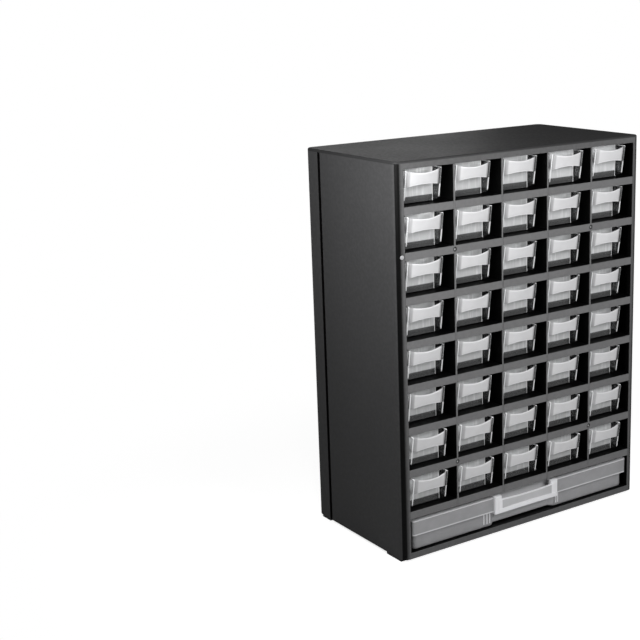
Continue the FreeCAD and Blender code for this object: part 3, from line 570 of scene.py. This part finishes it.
# The wide drawer's plastic: its clouds, its rim and ridge lighter, partly the thicker edge and partly
# painted highlight, its bay lightened as painted light, and its thick pull.
WIDE_NOISE = (30.0 * MM, 4.0)
PATCH_NOISE = (9.0 * MM, 4.0, 2.0)
PATCH_SPAN = (0.45, 0.7)
PATCH_SHARE = 0.2
THICK_NOISE = (16.0 * MM, 3.0, 4.0)
WIDE_ETCH_NOISE = (0.35 * MM, 2.0, 5.0)
WIDE_RELIEF = (0.15, 0.05 * MM)
WIDE_ROUGHNESS = (0.34, 0.48)
WIDE_ALPHA = (0.56, 0.66)
WIDE_EDGE_ALPHA = 0.25
PLATE_ROUGHNESS = (0.34, 0.46)
PLATE_ALPHA = (0.78, 0.86)
THICK_ALPHA = 0.1
WIDE_IOR = 1.5
WIDE_RIM_LINE = 1.1 * MM
RIDGE_DROP = 0.7 * MM
RIDGE_HALF = 0.2 * MM
RIDGE_FADE = 0.8 * MM
BAND_DEPTH = 1.0 * MM
BAND_FADE = 1.0 * MM
POST_LINE = 0.2 * MM
LIP_LINE = 1.0 * MM
LIP_FADE = 0.6 * MM
TOP_LINE = 0.5 * MM
WIDE_SHARES = (0.92, 1.08)
BAY_AND_EDGE_PAINTED_LIGHT_SHARE = 1.7
WIDE_EDGE_HIGHLIGHT_SHARE = 0.8
PLATE_SHARES = (1.2, 1.32)
THICK_SHARE = 1.9


def wide_plastic():
    """Frosted translucent plastic of the wide drawer, its finger bay lightened as painted light and its
    rim and ridge as painted highlight.
    """
    colour = bpy.context.scene.cabinet_colours.wide
    material, surface, place = new_material("drawer_frosted")
    haze = noise(place, *WIDE_NOISE)
    cloud = mingled(haze, contrast(noise(place, *PATCH_NOISE), PATCH_SPAN), PATCH_SHARE)
    x, y, z = axes(place)
    # The rim and ridge lines are lighter, partly the thicker edge and partly painted highlight.
    ridge = ramp_down(abs(z - (WIDE_RIM - BAND_HEIGHT + RIDGE_DROP)), RIDGE_HALF, RIDGE_FADE)
    front = ramp_down(y, WIDE_RECESS + BAND_DEPTH, BAND_FADE)
    edge = highest(ramp_up(z, WIDE_RIM - WIDE_RIM_LINE, RIM_FADE), ridge * front)
    # The finger bay is lightened where it lies in shade, as painted light.
    in_bay = ramp_down(abs(x), BAY_WIDTH / 2 - BAND_FADE, BAND_FADE)
    body = blend_colours(place, in_bay, clouded(cloud, colour, WIDE_SHARES), shade(colour, BAY_AND_EDGE_PAINTED_LIGHT_SHARE))
    link(varied(cloud, WIDE_ALPHA) + WIDE_EDGE_ALPHA * edge, surface, "Alpha")
    dress(surface, blend_colours(place, WIDE_EDGE_HIGHLIGHT_SHARE * edge, body, shade(colour, BAY_AND_EDGE_PAINTED_LIGHT_SHARE)),
          varied(haze, WIDE_ROUGHNESS), bump(noise(place, *WIDE_ETCH_NOISE), WIDE_RELIEF), IOR=WIDE_IOR)
    return material


def wide_pull_plastic():
    """The same frosted plastic where the wide pull is thick and looks almost solid."""
    colour = bpy.context.scene.cabinet_colours.wide
    material, surface, place = new_material("pull_thick_frosted")
    haze = noise(place, *THICK_NOISE)
    x, _, z = axes(place)
    half = BAY_WIDTH / 2
    arch = crown(x, half)
    post = ramp_up(abs(x), half - POST_WIDTH - POST_LINE, 2 * POST_LINE)
    foot = WIDE_RIM + POST_RISE - WIDE_PULL_HEIGHT
    lip = ramp_down(z - (foot + PLATE_ARCH * arch + LIP_HEIGHT), -LIP_LINE, LIP_FADE)
    from_top = (foot + WIDE_PULL_HEIGHT - PLATE_DROP) - PLATE_DIP * arch - z
    thick = highest(post, lip, ramp_down(from_top, TOP_LINE, LIP_FADE))
    plate = clouded(haze, colour, PLATE_SHARES)
    link(varied(haze, PLATE_ALPHA) + THICK_ALPHA * thick, surface, "Alpha")
    dress(surface, blend_colours(place, thick, plate, shade(colour, THICK_SHARE)),
          varied(haze, PLATE_ROUGHNESS), bump(noise(place, *WIDE_ETCH_NOISE), WIDE_RELIEF), IOR=WIDE_IOR)
    return material


# The small fixings: their dust or rub marks, and what these change.
PLUG_NOISE = (0.9 * MM, 4.0)
PIN_NOISE = (0.8 * MM, 4.0)
CENTRE_NOISE = (0.7 * MM, 4.0)
SCREW_NOISE = (1.1 * MM, 5.0)
SCREW_SPAN = (0.5, 0.7)
PLUG_RELIEF = (0.1, 0.05 * MM)
PIN_RELIEF = (0.08, 0.04 * MM)
CENTRE_RELIEF = (0.1, 0.04 * MM)
SCREW_RELIEF = (0.1, 0.03 * MM)
PLUG_ROUGHNESS = (0.40, 0.60)
PIN_ROUGHNESS = (0.28, 0.44)
CENTRE_ROUGHNESS = (0.36, 0.52)
SCREW_ROUGHNESS = (0.55, 0.35)
PLUG_SHARES = (0.8, 1.1)
PIN_SHARES = (0.2, 0.6)
CENTRE_SHARES = (1.3, 2.4)
SCREW_SHARES = (0.8, 2.6)


def plug_plastic():
    """Light grey moulded plug, slightly dusty round its rim."""
    material, surface, place = new_material("plug_grey")
    dust = noise(place, *PLUG_NOISE)
    dusty = clouded(dust, bpy.context.scene.cabinet_colours.plug, PLUG_SHARES)
    dress(surface, dusty, varied(dust, PLUG_ROUGHNESS), bump(dust, PLUG_RELIEF))
    return material


def pin_plastic():
    """Dark grey push pins with slightly polished heads."""
    material, surface, place = new_material("pin_dark")
    dust = noise(place, *PIN_NOISE)
    dusty = clouded(dust, bpy.context.scene.cabinet_colours.case, PIN_SHARES)
    dress(surface, dusty, varied(dust, PIN_ROUGHNESS), bump(dust, PIN_RELIEF))
    return material


def pin_centre_plastic():
    """The lighter middle of the push pins, in the front faces' colour."""
    material, surface, place = new_material("pin_centre")
    rub = noise(place, *CENTRE_NOISE)
    rubbed = clouded(rub, bpy.context.scene.cabinet_colours.front, CENTRE_SHARES)
    dress(surface, rubbed, varied(rub, CENTRE_ROUGHNESS), bump(rub, CENTRE_RELIEF))
    return material


def screw_steel():
    """Blackened steel with rubbed spots on the cross recess."""
    material, surface, place = new_material("screw_steel")
    rub = contrast(noise(place, *SCREW_NOISE), SCREW_SPAN)
    rubbed = clouded(rub, bpy.context.scene.cabinet_colours.screw, SCREW_SHARES)
    dress(surface, rubbed, varied(rub, SCREW_ROUGHNESS), bump(rub, SCREW_RELIEF), Metallic=1.0)
    return material


def new_piece(name, mesh):
    """An object in the scene that holds a mesh."""
    piece = bpy.data.objects.new(name, mesh)
    bpy.context.scene.collection.objects.link(piece)
    return piece


def keep_modified(piece):
    """Make what the modifiers show the piece's own mesh."""
    graph = bpy.context.evaluated_depsgraph_get()
    mesh = bpy.data.meshes.new_from_object(piece.evaluated_get(graph))
    piece.modifiers.clear()
    piece.data = mesh


def combine(base, operation, *tools):
    """Add or cut closed forms, and remove what was used for it."""
    for tool in tools:
        change = base.modifiers.new("form", "BOOLEAN")
        change.operation = operation
        change.solver = "EXACT"
        change.object = tool
        keep_modified(base)
        bpy.data.objects.remove(tool)


def soften(piece, width):
    """Round the sharp edges a little, and shade the rest smoothly."""
    edge = piece.modifiers.new("edge", "BEVEL")
    edge.width = width
    edge.segments = EDGE_STEPS
    edge.limit_method = "ANGLE"
    edge.angle_limit = math.radians(SHARP_TURN)
    edge.use_clamp_overlap = True
    keep_modified(piece)
    piece.data.shade_smooth()
    piece.data.set_sharp_from_angle(angle=math.radians(SHARP_TURN))


def corner_arc(before, corner, after, radius, steps):
    """Points that round one corner of a flat outline."""
    to_before = (before - corner).normalized()
    to_after = (after - corner).normalized()
    half = to_before.angle(to_after) / 2
    reach = radius / math.tan(half)
    centre = corner + (to_before + to_after).normalized() * (radius / math.sin(half))
    start = corner + to_before * reach - centre
    turn = start.angle_signed(corner + to_after * reach - centre)
    points = []
    for step in range(steps + 1):
        angle = -turn * step / steps
        points.append(centre + Matrix.Rotation(angle, 2) @ start)
    return points


def soft_outline(corners, radii, steps=6):
    """A flat outline whose named corners are rounded: radii gives a radius per corner number."""
    places = [Vector(corner) for corner in corners]
    points = []
    for number, corner in enumerate(places):
        radius = radii.get(number)
        if radius:
            before = places[number - 1]
            after = places[(number + 1) % len(places)]
            points += corner_arc(before, corner, after, radius, steps)
        else:
            points.append(corner)
    return points


def prism(name, points, low, high, lift, slot=0):
    """A closed solid raised from a flat outline: lift turns (u, v, height) into a place."""
    form = bmesh.new()
    ends = [[form.verts.new(lift(u, v, level)) for u, v in points] for level in (low, high)]
    form.faces.new(list(reversed(ends[0])))
    form.faces.new(ends[1])
    count = len(points)
    for number in range(count):
        after = (number + 1) % count
        form.faces.new((ends[0][number], ends[0][after], ends[1][after], ends[1][number]))
    bmesh.ops.recalc_face_normals(form, faces=form.faces)
    return finished(name, form, slot)


def finished(name, form, slot=0):
    """A mesh object from a bmesh, all its faces in one material slot."""
    for face in form.faces:
        face.material_index = slot
    return new_piece(name, as_mesh(name, form))


def as_mesh(name, form):
    """A mesh that holds a bmesh's faces."""
    mesh = bpy.data.meshes.new(name)
    form.to_mesh(mesh)
    form.free()
    return mesh


def along_x(u, v, level):
    return Vector((level, u, v))


def along_z(u, v, level):
    return Vector((u, v, level))


def solid_block(name, x, y, z, slot=0):
    """A closed block between pairs of places."""
    corners = ((x[0], y[0]), (x[1], y[0]), (x[1], y[1]), (x[0], y[1]))
    return prism(name, corners, z[0], z[1], along_z, slot)


def curved_plate(name, half, front, back, top, bottom, slot, across=28, up=5):
    """A plate across the front: functions give its front, back, top and bottom at each place."""
    form = bmesh.new()
    sheets = []
    for depth in (front, back):
        rows = []
        for level in range(up + 1):
            row = []
            for step in range(across + 1):
                x = half * (2 * step / across - 1)
                z = bottom(x) + (top(x) - bottom(x)) * level / up
                row.append(form.verts.new((x, depth(x, z), z)))
            rows.append(row)
        sheets.append(rows)
    for rows in sheets:
        for low, high in zip(rows, rows[1:]):
            for step in range(across):
                form.faces.new((low[step], low[step + 1], high[step + 1], high[step]))
    near, far = sheets
    for level in (0, up):
        for step in range(across):
            after = step + 1
            form.faces.new((near[level][step], near[level][after], far[level][after], far[level][step]))
    for step in (0, across):
        for low in range(up):
            form.faces.new((near[low][step], near[low + 1][step], far[low + 1][step], far[low][step]))
    bmesh.ops.recalc_face_normals(form, faces=form.faces)
    return finished(name, form, slot)


def drawer_size():
    """Half width and rim height of a small drawer, from its solid."""
    low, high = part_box("drawer_r3c3")
    return (high.x - low.x) / 2, high.z - low.z - LUG_HEIGHT


def make_tray(half, rim, wall, floor):
    """Floor, side walls with forward cheeks, front wall and back wall of a small drawer."""
    side = ((FOOT_SETBACK, FOOT_RISE), (FINGER_WALL, 0.0), (BACK_END, 0.0), (BACK_END, rim),
            (RIM_SETBACK, rim))
    radii = {0: CHEEK_RADIUS, 1: KEEL_RADIUS, 2: FLOOR_RADIUS, 4: wall}
    tray = prism("drawer_tray", soft_outline(side, radii), -half, half, along_x)
    inner = half - wall
    start = FINGER_WALL + wall
    end = BACK_END - wall
    above = rim + LUG_HEIGHT
    hollow = ((start, floor), (end, floor), (end, above), (start, above))
    cavity = prism("cavity", soft_outline(hollow, {0: KEEL_RADIUS - wall, 1: FLOOR_RADIUS - wall / 2}),
                   -inner, inner, along_x)
    finger = solid_block("finger", (-inner, inner), (-FINGER_WALL, FINGER_WALL), (-rim, above))
    combine(tray, "DIFFERENCE", cavity, finger)
    add_lugs(tray, half, wall, rim, LUG_HEIGHT)
    return tray


def add_lugs(tray, half, wall, rim, height):
    """Stop lugs on the rims of a drawer's side walls."""
    lug = (BACK_END - LUG_SETBACK - LUG_LENGTH, BACK_END - LUG_SETBACK)
    for start, end in ((half - wall, half), (-half, wall - half)):
        combine(tray, "UNION", solid_block("lug", (start, end), lug, (rim - wall, rim + height)))


def make_small_pull(half, rim, wall, thickness):
    """The bow-tie pull: dipped above, arched below, curving forward and rounded at its ends."""
    slope = cheek_slope(rim)
    reach = half - wall / 2
    foot = rim - PULL_HEIGHT

    def front(x, z):
        past = max(0.0, abs(x) - (half - wall - PULL_END_RADIUS))
        turn = PULL_END_RADIUS - math.sqrt(PULL_END_RADIUS ** 2 - min(past, PULL_END_RADIUS) ** 2)
        return RIM_SETBACK + (rim - z) * slope - PULL_BULGE * crown(x, half) + turn * PULL_TURN_SHARE

    def back(x, z):
        return front(x, z) + thickness

    def top(x):
        return rim - PULL_DIP * crown(x, half) - PULL_MEETS_CHEEK

    def bottom(x):
        return foot + PULL_ARCH * crown(x, half)

    return curved_plate("drawer_pull", reach, front, back, top, bottom, 1)


def make_small_drawer(materials):
    """One mesh for all the small drawers."""
    sizes = bpy.context.scene.cabinet_sizes
    half, rim = drawer_size()
    tray = make_tray(half, rim, sizes.drawer_wall, sizes.drawer_wall)
    combine(tray, "UNION", make_small_pull(half, rim, sizes.drawer_wall, sizes.pull_thickness))
    soften(tray, sizes.edge_softness)
    mesh = tray.data
    bpy.data.objects.remove(tray)
    for material in materials:
        mesh.materials.append(material)
    mesh.name = "small_drawer"
    return mesh


def wide_outline(half, front, back, corner_shift):
    """Plan of the wide drawer's tray, with a splayed bay in the middle of its front."""
    start = BAY_WIDTH / 2 + corner_shift
    base = start - BAY_DEPTH
    return ((-half, front), (-start, front), (-base, front + BAY_DEPTH), (base, front + BAY_DEPTH),
            (start, front), (half, front), (half, back), (-half, back))


def make_wide_tray(wall):
    """Floor, walls, bay and upper band of the wide drawer."""
    band_half = HALF_OPENING - WIDE_SIDE_GAP
    half = band_half - BAND_OVERHANG
    front = WIDE_RECESS + BAND_STEP
    soft = {0: WIDE_RADIUS, 5: WIDE_RADIUS, 1: wall, 4: wall, 2: wall, 3: wall}
    plan = soft_outline(wide_outline(half, front, BACK_END, 0.0), soft)
    tray = prism("wide_tray", plan, 0.0, WIDE_RIM, along_z)
    round_keel(tray)
    shift = wall * (math.sqrt(2.0) - 1.0)
    soft_inside = {0: WIDE_RADIUS - wall, 5: WIDE_RADIUS - wall}
    inside = soft_outline(wide_outline(half - wall, front + wall, BACK_END - wall, shift), soft_inside)
    combine(tray, "DIFFERENCE", prism("inside", inside, WIDE_FLOOR, WIDE_RIM + wall, along_z))
    combine(tray, "UNION", *make_band(band_half, half, front, wall))
    add_lugs(tray, half, wall, WIDE_RIM, WIDE_LUG_HEIGHT)
    add_ribs(tray, front)
    return tray


def round_keel(tray):
    """Round the lower edges of the wide tray."""
    form = bmesh.new()
    form.from_mesh(tray.data)
    low = [edge for edge in form.edges if all(vert.co.z < WIDE_FLOOR / 2 for vert in edge.verts)]
    bmesh.ops.bevel(form, geom=low, offset=WIDE_KEEL_RADIUS / 2, segments=WIDE_KEEL_STEPS, affect="EDGES",
                    profile=ROUND_SHARE)
    form.to_mesh(tray.data)
    form.free()


def make_band(band_half, half, front, wall):
    """The upper band: proud of the lower front and wrapped round the tray's corners."""
    start = BAY_WIDTH / 2
    low = WIDE_RIM - BAND_HEIGHT
    behind = front + WIDE_RADIUS
    bands = []
    for side in (1, -1):
        corners = ((start, WIDE_RECESS), (band_half, WIDE_RECESS), (band_half, behind),
                   (half - wall, behind), (half - wall, front + wall), (start, front + wall))
        points = soft_outline(corners, {1: BAND_RADIUS})
        bands.append(prism("band", [(u * side, v) for u, v in points], low, WIDE_RIM, along_z))
    return bands


def add_ribs(tray, front):
    """Thin upright ribs beside the bay, on the lower front."""
    for middle in LEFT_RIBS + RIGHT_RIBS:
        rib = solid_block("rib", (middle - RIB_WIDTH / 2, middle + RIB_WIDTH / 2),
                          (front - RIB_DEPTH, front + RIB_DEPTH),
                          (WIDE_KEEL_RADIUS, WIDE_RIM - BAND_HEIGHT + RIB_DEPTH), 1)
        combine(tray, "UNION", rib)


def make_wide_pull(wall):
    """End posts, dipped plate and thick arched lip of the wide pull."""
    half = BAY_WIDTH / 2
    face = WIDE_RECESS - POST_FORWARD
    foot = WIDE_RIM + POST_RISE - WIDE_PULL_HEIGHT
    inner = half - POST_WIDTH / 2

    def lip_front(x, z):
        return face - (PLATE_BULGE + LIP_FORWARD) * crown(x, half)

    def plate_front(x, z):
        return face - PLATE_BULGE * crown(x, half)

    def back(x, z):
        return plate_front(x, z) + PLATE_THICKNESS

    def foot_line(x):
        return foot + PLATE_ARCH * crown(x, half)

    def lip_top(x):
        return foot_line(x) + LIP_HEIGHT * LIP_SHARE

    def plate_top(x):
        return foot + WIDE_PULL_HEIGHT - PLATE_DROP - PLATE_DIP * crown(x, half)

    plate = curved_plate("wide_pull", inner, plate_front, back, plate_top, foot_line, 1)
    combine(plate, "UNION", curved_plate("lip", inner, lip_front, back, lip_top, foot_line, 1))
    combine(plate, "UNION", *make_posts(half, face, foot, wall))
    return plate


def make_posts(half, face, foot, wall):
    """The two end posts, with webs that run back to the tray's front."""
    reach = face + BAND_STEP + POST_FORWARD + wall
    depth = face + PLATE_THICKNESS + POST_FORWARD
    posts = []
    for side in (1, -1):
        corners = ((half - POST_WIDTH, face), (half, face), (half, reach), (half - wall, reach),
                   (half - wall, depth), (half - POST_WIDTH, depth))
        points = soft_outline(corners, {0: POST_RADIUS, 1: POST_RADIUS})
        posts.append(prism("post", [(u * side, v) for u, v in points], foot, foot + WIDE_PULL_HEIGHT,
                           along_z, 1))
    return posts


def turned(name, profile, bright_rings=0, steps=32):
    """A closed form turned round the Y axis; its first rings may have a finish of their own."""
    form = bmesh.new()
    rings = []
    for radius, depth in profile:
        ring = []
        for step in range(steps):
            angle = 2 * math.pi * step / steps
            ring.append(form.verts.new((radius * math.cos(angle), depth, radius * math.sin(angle))))
        rings.append(ring)
    bright = []
    for number, (first, second) in enumerate(zip(rings, rings[1:])):
        for step in range(steps):
            after = (step + 1) % steps
            face = form.faces.new((first[step], first[after], second[after], second[step]))
            if number < bright_rings:
                bright.append(face)
    cap = form.faces.new(rings[0])
    if bright_rings:
        bright.append(cap)
    form.faces.new(rings[-1])
    bmesh.ops.recalc_face_normals(form, faces=form.faces)
    for face in bright:
        face.material_index = 1
    return new_piece(name, as_mesh(name, form))


def headed_profile(shares):
    """A profile from the middle of a head, given in shares, to the tip of the shank."""
    face = PIN_RECESS
    tip = face + PIN_LENGTH
    head = [(across * PIN_RADIUS, face + deep * PIN_HEAD) for across, deep in shares]
    shank = [(PIN_SHANK, face + PIN_HEAD), (PIN_SHANK, tip - TIP_HEIGHT_SHARE * PIN_HEAD),
             (TIP_WIDTH_SHARE * PIN_SHANK, tip - PIN_RECESS)]
    return head + shank


def pin_places():
    """Where the four rack pins stand: the corners of their node's box, one radius in."""
    low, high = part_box("rack_pins")
    columns = (low.x + PIN_RADIUS, high.x - PIN_RADIUS)
    rows = (low.z + PIN_RADIUS, high.z - PIN_RADIUS)
    return [(x, z) for x in columns for z in rows]


def make_pins():
    """The four rack pins in one mesh, each with a lighter middle."""
    pins = []
    for number, (x, z) in enumerate(pin_places()):
        pin = turned("pin_%d" % number, headed_profile(PIN_HEAD_SHARES), PIN_CENTRE_RINGS)
        for vert in pin.data.vertices:
            vert.co += Vector((x, FRONT_FACE, z))
        pins.append(pin)
    combine(pins[0], "UNION", *pins[1:])
    pins[0].name = "rack_pin_heads"
    soften(pins[0], HEAD_SOFTNESS)
    pins[0].data.materials.append(pin_plastic())
    pins[0].data.materials.append(pin_centre_plastic())
    return pins[0]


def make_plug():
    """The light plug in the left upright."""
    plug = turned("stile_plug_head", headed_profile(PLUG_HEAD_SHARES))
    soften(plug, HEAD_SOFTNESS)
    plug.data.materials.append(plug_plastic())
    return plug


def settle(piece, place, body, node):
    """Put a finished piece where its node stands and let it ride on its body."""
    piece.location = place
    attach(piece, body)
    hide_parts(node)


class CABINET_OT_case(bpy.types.Operator):
    """Give the case, cover, shelves and dividers their black plastic and soft edges"""

    bl_idname = "cabinet.case"
    bl_label = "Case, cover, shelves and dividers"

    def execute(self, context):
        outer = black_plastic("case_black", True)
        inner = black_plastic("rack_black", False)
        finishes = {"case_shell": outer, "rear_cover": outer}
        finishes.update({"shelf_%d" % row: inner for row in range(1, ROWS + 1)})
        finishes.update({"divider_%d" % divider: inner for divider in range(1, COLUMNS)})
        for name, plastic in finishes.items():
            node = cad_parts[name]
            node.data.materials.clear()
            node.data.materials.append(plastic)
            weld = node.modifiers.new("weld", "WELD")
            weld.merge_threshold = WELD_REACH
            edge = node.modifiers.new("edge", "BEVEL")
            edge.width = context.scene.cabinet_sizes.case_softness
            edge.segments = EDGE_STEPS
            edge.limit_method = "ANGLE"
            edge.angle_limit = math.radians(CASE_SHARP_TURN)
            edge.harden_normals = True
        return {"FINISHED"}


class CABINET_OT_fixings(bpy.types.Operator):
    """Make the rack pins and the plug, and give the cover screws their steel"""

    bl_idname = "cabinet.fixings"
    bl_label = "Pins, plug and screws"

    def execute(self, context):
        settle(make_pins(), (0.0, 0.0, 0.0), "root", "rack_pins")
        low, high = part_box("stile_plug")
        middle = (low + high) / 2
        settle(make_plug(), (middle.x, FRONT_FACE, middle.z), "root", "stile_plug")
        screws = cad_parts["cover_screws"]
        screws.data.materials.clear()
        screws.data.materials.append(screw_steel())
        return {"FINISHED"}


class CABINET_OT_small_drawers(bpy.types.Operator):
    """Make the forty small drawers from one shared mesh"""

    bl_idname = "cabinet.small_drawers"
    bl_label = "Small drawers"

    def execute(self, context):
        mesh = make_small_drawer((clear_plastic(), pull_plastic()))
        for row in range(1, ROWS + 1):
            for column in range(1, COLUMNS + 1):
                node = "drawer_r%dc%d" % (row, column)
                low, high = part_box(node)
                drawer = bpy.data.objects.new("bin_r%dc%d" % (row, column), mesh)
                context.scene.collection.objects.link(drawer)
                place = ((low.x + high.x) / 2, high.y - BACK_END, low.z)
                settle(drawer, place, node, node)
        return {"FINISHED"}


class CABINET_OT_wide_drawer(bpy.types.Operator):
    """Make the wide drawer with its finger bay and pull"""

    bl_idname = "cabinet.wide_drawer"
    bl_label = "Wide drawer"

    def execute(self, context):
        sizes = context.scene.cabinet_sizes
        low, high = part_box("large_drawer")
        drawer = make_wide_tray(sizes.wide_wall)
        combine(drawer, "UNION", make_wide_pull(sizes.wide_wall))
        soften(drawer, sizes.edge_softness * WIDE_SOFTNESS_SHARE)
        drawer.name = "wide_drawer"
        drawer.data.materials.append(wide_plastic())
        drawer.data.materials.append(wide_pull_plastic())
        settle(drawer, (0.0, high.y - BACK_END, low.z), "large_drawer", "large_drawer")
        return {"FINISHED"}


class CABINET_OT_stage(bpy.types.Operator):
    """Set up the floor, the lights and the camera"""

    bl_idname = "cabinet.stage"
    bl_label = "Floor, lights and camera"

    def execute(self, context):
        make_floor()
        light_world()
        for name, place, aim, size, power in LAMPS:
            add_lamp(name, place, aim, size, power)
        add_camera()
        context.scene.view_settings.view_transform = "Standard"
        return {"FINISHED"}


# The stage, in metres and watts. A lamp has its name, place, aim, size and power.
FLOOR_SIZE = 12.0
GLOW_SHARES = (0.0, 0.82)
FLOOR_NEAR = 0.16
FLOOR_FADE = 0.34
FLOOR_ROUGHNESS = 0.9
SKY_LEVEL = 0.12
WHITE = (1.0, 1.0, 1.0)
LAMPS = (
    ("key", (0.10, -0.68, 0.52), (0.0, 0.0, 0.22), 0.4, 5.0),
    ("left_fill", (-0.34, -0.16, 0.45), (-0.15, -0.08, 0.34), 0.2, 1.5),
    ("back_fill", (0.50, 1.25, 0.30), (0.0, 0.08, 0.20), 0.8, 3.6),
)


def make_floor():
    """A pale floor that shows as white to the camera and keeps the shadow."""
    form = bmesh.new()
    bmesh.ops.create_grid(form, x_segments=1, y_segments=1, size=FLOOR_SIZE / 2)
    floor = finished("floor", form)
    material, surface, place = new_material("floor_pale")
    colour = bpy.context.scene.cabinet_colours.floor
    surface.inputs["Base Color"].default_value = shade(colour)
    surface.inputs["Roughness"].default_value = FLOOR_ROUGHNESS
    surface.inputs["Emission Strength"].default_value = 1.0
    seen = seen_directly(place)
    link(clouded(seen, WHITE, GLOW_SHARES), surface, "Emission Color")
    reach = place.node("ShaderNodeVectorMath", {"operation": "LENGTH"}, {0: place}, "Value")
    white = place.node("ShaderNodeEmission", {}, {"Color": shade(WHITE)})
    pale = Wire(place.tree, surface.outputs["BSDF"])
    faded = place.node("ShaderNodeMixShader", {},
                       {0: seen * ramp_up(reach, FLOOR_NEAR, FLOOR_FADE), 1: pale, 2: white})
    place.tree.links.new(faded.socket, place.tree.nodes["Material Output"].inputs["Surface"])
    floor.data.materials.append(material)


def seen_directly(wire):
    """One for rays that come straight from the camera or through clear plastic."""
    from_camera = wire.node("ShaderNodeLightPath", {}, {}, "Is Camera Ray")
    through_clear = wire.node("ShaderNodeLightPath", {}, {}, "Is Transmission Ray")
    return from_camera.maths("MAXIMUM", from_camera, through_clear)


def light_world():
    """An even pale sky: white where it is seen, lower where it lights."""
    world = bpy.data.worlds.new("studio")
    bpy.context.scene.world = world
    world.use_nodes = True
    tree = world.node_tree
    sky = tree.nodes["Background"]
    sky.inputs["Color"].default_value = shade(WHITE)
    seen = seen_directly(Wire(tree))
    level = SKY_LEVEL + (1.0 - SKY_LEVEL) * seen
    tree.links.new(level.socket, sky.inputs["Strength"])


def add_lamp(name, place, aim, size, power):
    """A square soft lamp that looks at a point."""
    data = bpy.data.lights.new(name, "AREA")
    data.size = size
    data.energy = power
    lamp = bpy.data.objects.new(name, data)
    bpy.context.scene.collection.objects.link(lamp)
    lamp.location = place
    lamp.rotation_euler = (Vector(aim) - Vector(place)).to_track_quat("-Z", "Y").to_euler()


def add_camera():
    """The camera, above and to the left of the front, turned by its yaw, pitch and roll."""
    yaw = math.radians(CAMERA_YAW)
    pitch = math.radians(CAMERA_PITCH)
    roll = math.radians(CAMERA_ROLL)
    ahead = Vector((math.sin(yaw) * math.cos(pitch), math.cos(yaw) * math.cos(pitch), -math.sin(pitch)))
    level_right = Vector((math.cos(yaw), -math.sin(yaw), 0.0))
    level_up = level_right.cross(ahead)
    right = level_right * math.cos(roll) + level_up * math.sin(roll)
    up = level_up * math.cos(roll) - level_right * math.sin(roll)
    data = bpy.data.cameras.new("view")
    data.lens = bpy.context.scene.cabinet_sizes.camera_lens
    data.sensor_width = SENSOR_WIDTH
    data.shift_x, data.shift_y = CAMERA_SHIFT
    data.clip_start = CLIP_START
    camera = bpy.data.objects.new("view", data)
    bpy.context.scene.collection.objects.link(camera)
    place = Vector(CAMERA_PLACE) + Vector((0.0, FRONT_FACE, 0.0))
    turn = Matrix((right, up, -ahead)).transposed().to_4x4()
    camera.matrix_world = Matrix.Translation(place) @ turn
    bpy.context.scene.camera = camera


class CABINET_PT_panel(bpy.types.Panel):
    """The steps that dress the cabinet, in order"""

    bl_idname = "CABINET_PT_panel"
    bl_label = "Parts bin cabinet"
    bl_space_type = "VIEW_3D"
    bl_region_type = "UI"
    bl_category = "Cabinet"

    def draw(self, context):
        for group in (context.scene.cabinet_sizes, context.scene.cabinet_colours):
            for name in group.__annotations__:
                self.layout.prop(group, name)
        for step in STEPS:
            self.layout.operator(step.bl_idname)


STEPS = (CABINET_OT_case, CABINET_OT_fixings, CABINET_OT_small_drawers, CABINET_OT_wide_drawer,
         CABINET_OT_stage)
CLASSES = (CabinetSizes, CabinetColours) + STEPS + (CABINET_PT_panel,)


def register():
    for made in CLASSES:
        bpy.utils.register_class(made)
    bpy.types.Scene.cabinet_sizes = bpy.props.PointerProperty(type=CabinetSizes)
    bpy.types.Scene.cabinet_colours = bpy.props.PointerProperty(type=CabinetColours)


def unregister():
    del bpy.types.Scene.cabinet_colours
    del bpy.types.Scene.cabinet_sizes
    for made in reversed(CLASSES):
        bpy.utils.unregister_class(made)


def main():
    register()
    bpy.ops.cabinet.case()
    bpy.ops.cabinet.fixings()
    bpy.ops.cabinet.small_drawers()
    bpy.ops.cabinet.wide_drawer()
    bpy.ops.cabinet.stage()


if __name__ == "__main__":
    main()
